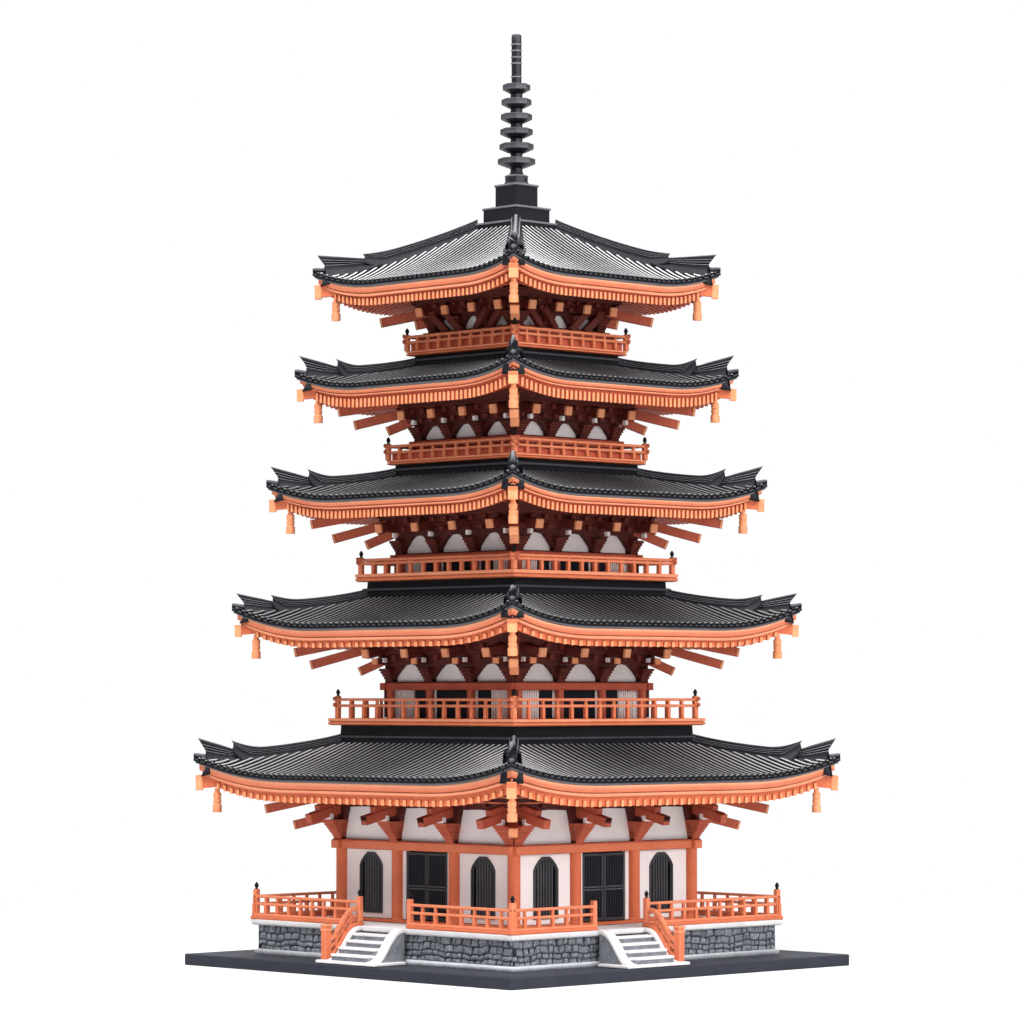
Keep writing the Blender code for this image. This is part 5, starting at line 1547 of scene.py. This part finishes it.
# %% [markdown]
# ## Stairs
# Each stair has white treads between two stone edges that swell at the top. One edge
# carries a sloping rail that ends at a newel on the ground slab. The edge's side view is
# a formula, so coping, cheek and rail all follow the same curve.

# %% Stone edges
STAIR_TOP_OUT = 90.8           # where a stair leaves the cap
COPING = 1.5
TREAD_THICK = 1.2
SLAB_SIZE, SLAB_LOW = (41.0, 19.6, 1.4), PLATE_TOP + 0.3
NEWEL_PLACE, NEWEL_TOP = 108.2, 23.4


def stair_curve(count):
    """Side view of a stair's edge, out and height:
    share of the fall = share of the run - 0.13 sin(2 pi share of the run)."""
    share = np.linspace(0, 1, count)
    slope = share - 0.13 * np.sin(2 * math.pi * share)
    foot = SLAB_LOW + 1.5
    return STAIR_TOP_OUT + share * STAIR_RUN, CAP_TOP - (CAP_TOP - foot) * slope


def stair_edge(x, width):
    """A stone edge: white coping of the curve over a grey cheek down to the plate."""
    out, top = stair_curve(16)
    low = np.full_like(top, PLATE_TOP + 0.1)
    items = []
    for inset, high, base, finish, glow in ((0.0, top, top - COPING, "white_slab", 0.5),
                                            (0.35, top - COPING, low, "grey_slab", 0.15)):
        w = width / 2 - inset
        base = np.minimum(np.maximum(base, PLATE_TOP + 0.1), high - 0.05)
        corners = [(x - w, base), (x + w, base), (x + w, high), (x - w, high)]
        points = np.stack([np.stack([np.full_like(out, cx), -out, cz], -1) for cx, cz in corners], 1)
        items.append(sweep(points, finish, np.full(points.shape[:2], glow)))
    return items


print("a stair falls", round(CAP_TOP - stair_curve(2)[1][-1], 2), "mm")


# %% Treads and sloping rail
def make_stair(turns):
    """Treads, edges, ground slab and the sloping rail of one stair."""
    middle = STAIR_OFFSETS[turns]
    items = []
    treads = 4
    run = (STAIR_RUN - 1.2) / treads
    rise = (CAP_TOP - SLAB_LOW - COPING) / (treads + 1)
    inner = STAIR_WIDTH - 10
    for tread in range(treads):
        height = CAP_TOP - rise * (tread + 1)
        under = height - TREAD_THICK
        out = STAIR_TOP_OUT + run * tread
        items.append(blocks((middle, -(out + run / 2), (under + SLAB_LOW) / 2),
                            (inner, run, under - SLAB_LOW), "grey_slab", chamfer=0.05, crest=0.2))
        items.append(blocks((middle, -(out + run / 2 + 0.3), height - TREAD_THICK / 2),
                            (inner, run + 0.8, TREAD_THICK), "white_slab", chamfer=0.3, crest=0.4))
    items.append(blocks((middle, -(92.5 + SLAB_SIZE[1] / 2), SLAB_LOW + SLAB_SIZE[2] / 2), SLAB_SIZE,
                        "white_slab", chamfer=0.3, crest=0.4))
    shift = (STAIR_WIDTH - 5) / 2
    for side in (-1, 1):
        items += stair_edge(middle + side * shift, 5.6)
    return items + stair_rail(middle, RAIL_SIDES[turns])


def stair_rail(middle, side):
    """A sill, two rails and posts that follow the slope, then a newel at the foot. They
    stand in line with the end of the veranda's run."""
    out, height = stair_curve(7)
    out, height = out[:-1], height[:-1]
    x = middle + side * (STAIR_WIDTH / 2 - RAIL_INWARD + POST_OFFSET)
    items = []
    for lift, wide, high, glow in ((0.9, 3.2, 1.6, 0.3), (4.6, 1.5, 1.4, 0.4), (8.2, 2.0, 2.0, 0.5)):
        line = np.stack([np.full_like(out, x), -out, height + lift], -1)
        items.append(bars(line[:-1], line[1:], wide, high, "orange_paint", chamfer=0.3, crest=glow))
    places = np.array([94.6, 98.9, 103.2])
    level = np.interp(places, out, height)
    posts = np.stack([np.full(3, x), -places, level + 4.4], -1)
    items.append(blocks(posts, (1.7, 1.7, 7.6), "orange_paint", chamfer=0.25, crest=0.3))
    base, top = PLATE_TOP + 1.7, NEWEL_TOP
    x, place = x + side, -NEWEL_PLACE
    items.append(blocks((x, place, (base + top) / 2), (3.7, 3.7, top - base), "orange_paint",
                        chamfer=0.3, crest=0.3))
    caps = [(x, place, top - 0.4), (x, place, top - 2.6)]
    items.append(blocks(caps, (4.4, 4.4, 0.9), "orange_paint", chamfer=0.3, crest=0.7))
    return items


for turns, side in enumerate(["south", "east", "north", "west"]):
    stair = [turned(item, turns) for item in make_stair(turns)]
    piece("stone_stair_" + side, stair, replaces=["stair_" + side])
print("stairs:", tally)

# %% [markdown]
# ## Finial
# A square base in three steps, then a bowl and a spire with six discs that grow
# downwards. Bowl and spire have eight sides, so the turned profile is used with few sides.

# %% Finial
DISC_RADII = [6.7, 7.3, 7.6, 7.9, 8.3, 9.1]
DISC_SPACING, LOWEST_DISC = 7.25, 384.6
STEM_RINGS = (429.0, 435.6, 438.6, 441.8, 444.9)
BASE_STEPS = ((14.9, 353.6, 357.4), (11.3, 357.4, 365.0), (7.2, 365.0, 376.4))


def spire_profile():
    """Radius and height from the bowl to the tip, with the painted highlight on each edge."""
    rows = [(5.6, 376.3, 0), (5.9, 376.7, 0.4), (5.9, 377.5, 0.3), (5.5, 377.8, 0),
            (5.5, 380.0, 0.1), (5.8, 380.3, 0.6), (5.6, 380.9, 0.7), (3.6, 381.5, 0.2),
            (3.0, 382.6, 0)]
    for number, radius in enumerate(reversed(DISC_RADII)):
        low = LOWEST_DISC + number * DISC_SPACING
        neck = 2.9 if number < 5 else 2.4
        rows += [(2.9, low - 0.2, 0), (radius * 0.5, low + 0.1, 0), (radius * 0.9, low + 1.5, 0.1),
                 (radius, low + 1.9, 0.5), (radius, low + 4.2, 0.3), (radius - 0.35, low + 4.6, 0.8),
                 (neck + 0.2, low + 4.9, 0.2), (neck, low + 5.1, 0)]
    for level in STEM_RINGS:
        rows += [(2.4, level - 0.45, 0), (2.7, level - 0.3, 0.9), (2.7, level + 0.3, 0.9),
                 (2.4, level + 0.45, 0)]
    rows += [(2.4, 449.2, 0.3), (2.1, 449.8, 0.7)]
    return rows


rows = spire_profile()
spire = lathes([row[:2] for row in rows], (0, 0, 0), 8, "metal", crest=[row[2] for row in rows])
tiers = []
for half, low, high in BASE_STEPS:
    # crest: painted highlight on the steps' upper edges.
    tiers.append(square_ring([(half, low), (half, high - 1.3), (half + 0.5, high - 1.0),
                              (half + 0.5, high - 0.3), (half + 0.2, high)], "metal",
                             crest=[0.1, 0.05, 0.6, 1.0, 0.8]))
piece("spire_discs", [spire], replaces=["spire"], sharp=25)
piece("finial_steps", tiers, replaces=["finial_base"], sharp=25)
print("finial:", tally)

# %% [markdown]
# ## Finishes for the construction that shows
# The plate, floor, plaster walls, bracket bodies and the dark sheet behind the windows have
# the right shape already, so they only get their finish.

# %% Dress the construction
DRESSED = {"base_plate": "slate", "ground_floor": "orange_paint", "window_sheet": "pane",
           "plaster_band": "plaster"}
DRESSED.update({name: "plaster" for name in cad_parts
                if name.startswith(("walls_", "corner_wall_"))})
# The bracket bodies take the dark red that is darkened further as painted shade.
DRESSED.update({name: "red_paint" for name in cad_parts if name.startswith("brackets_")})
for name, finish in DRESSED.items():
    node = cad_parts[name]
    node.data.materials.clear()
    node.data.materials.append(FINISHES[finish])
print("dressed:", len(DRESSED), "nodes of the construction")

# %% [markdown]
# ## The floor
# A plain pale floor takes a soft shadow, and isn't part of the object.

# %% Floor
FLOOR_HALF = 8.0
GLOW_START, GLOW_FULL = 0.16, 0.6


def make_floor():
    """A white square. Seen from the camera, its far part glows like the backdrop:
    share = smooth step of the distance from the tower, between the two glow distances."""
    mesh = bpy.data.meshes.new("floor")
    corners = [(x * FLOOR_HALF, y * FLOOR_HALF, 0) for x, y in ((-1, -1), (1, -1), (1, 1), (-1, 1))]
    mesh.from_pydata(corners, [], [(0, 1, 2, 3)])
    material = bpy.data.materials.new("floor")
    material.use_nodes = True
    tree = material.node_tree
    shader = tree.nodes["Principled BSDF"]
    shader.inputs["Base Color"].default_value = (0.93, 0.93, 0.93, 1)
    shader.inputs["Roughness"].default_value = 0.9
    shader.inputs["Specular IOR Level"].default_value = 0.1
    glow = tree.nodes.new("ShaderNodeEmission")
    glow.inputs["Strength"].default_value = 1.0
    coordinates = tree.nodes.new("ShaderNodeTexCoord")
    length = tree.nodes.new("ShaderNodeVectorMath")
    length.operation = "LENGTH"
    tree.links.new(coordinates.outputs["Object"], length.inputs[0])
    fade = tree.nodes.new("ShaderNodeMapRange")
    fade.interpolation_type = "SMOOTHSTEP"
    fade.inputs["From Min"].default_value = GLOW_START
    fade.inputs["From Max"].default_value = GLOW_FULL
    tree.links.new(length.outputs["Value"], fade.inputs["Value"])
    path = tree.nodes.new("ShaderNodeLightPath")
    factor = maths(tree, "MULTIPLY", fade.outputs["Result"], path.outputs["Is Camera Ray"])
    mix = tree.nodes.new("ShaderNodeMixShader")
    tree.links.new(factor, mix.inputs[0])
    tree.links.new(shader.outputs[0], mix.inputs[1])
    tree.links.new(glow.outputs[0], mix.inputs[2])
    tree.links.new(mix.outputs[0], tree.nodes["Material Output"].inputs["Surface"])
    mesh.materials.append(material)
    floor = bpy.data.objects.new("floor", mesh)
    bpy.context.scene.collection.objects.link(floor)


make_floor()
print("pieces and triangles:", tally)
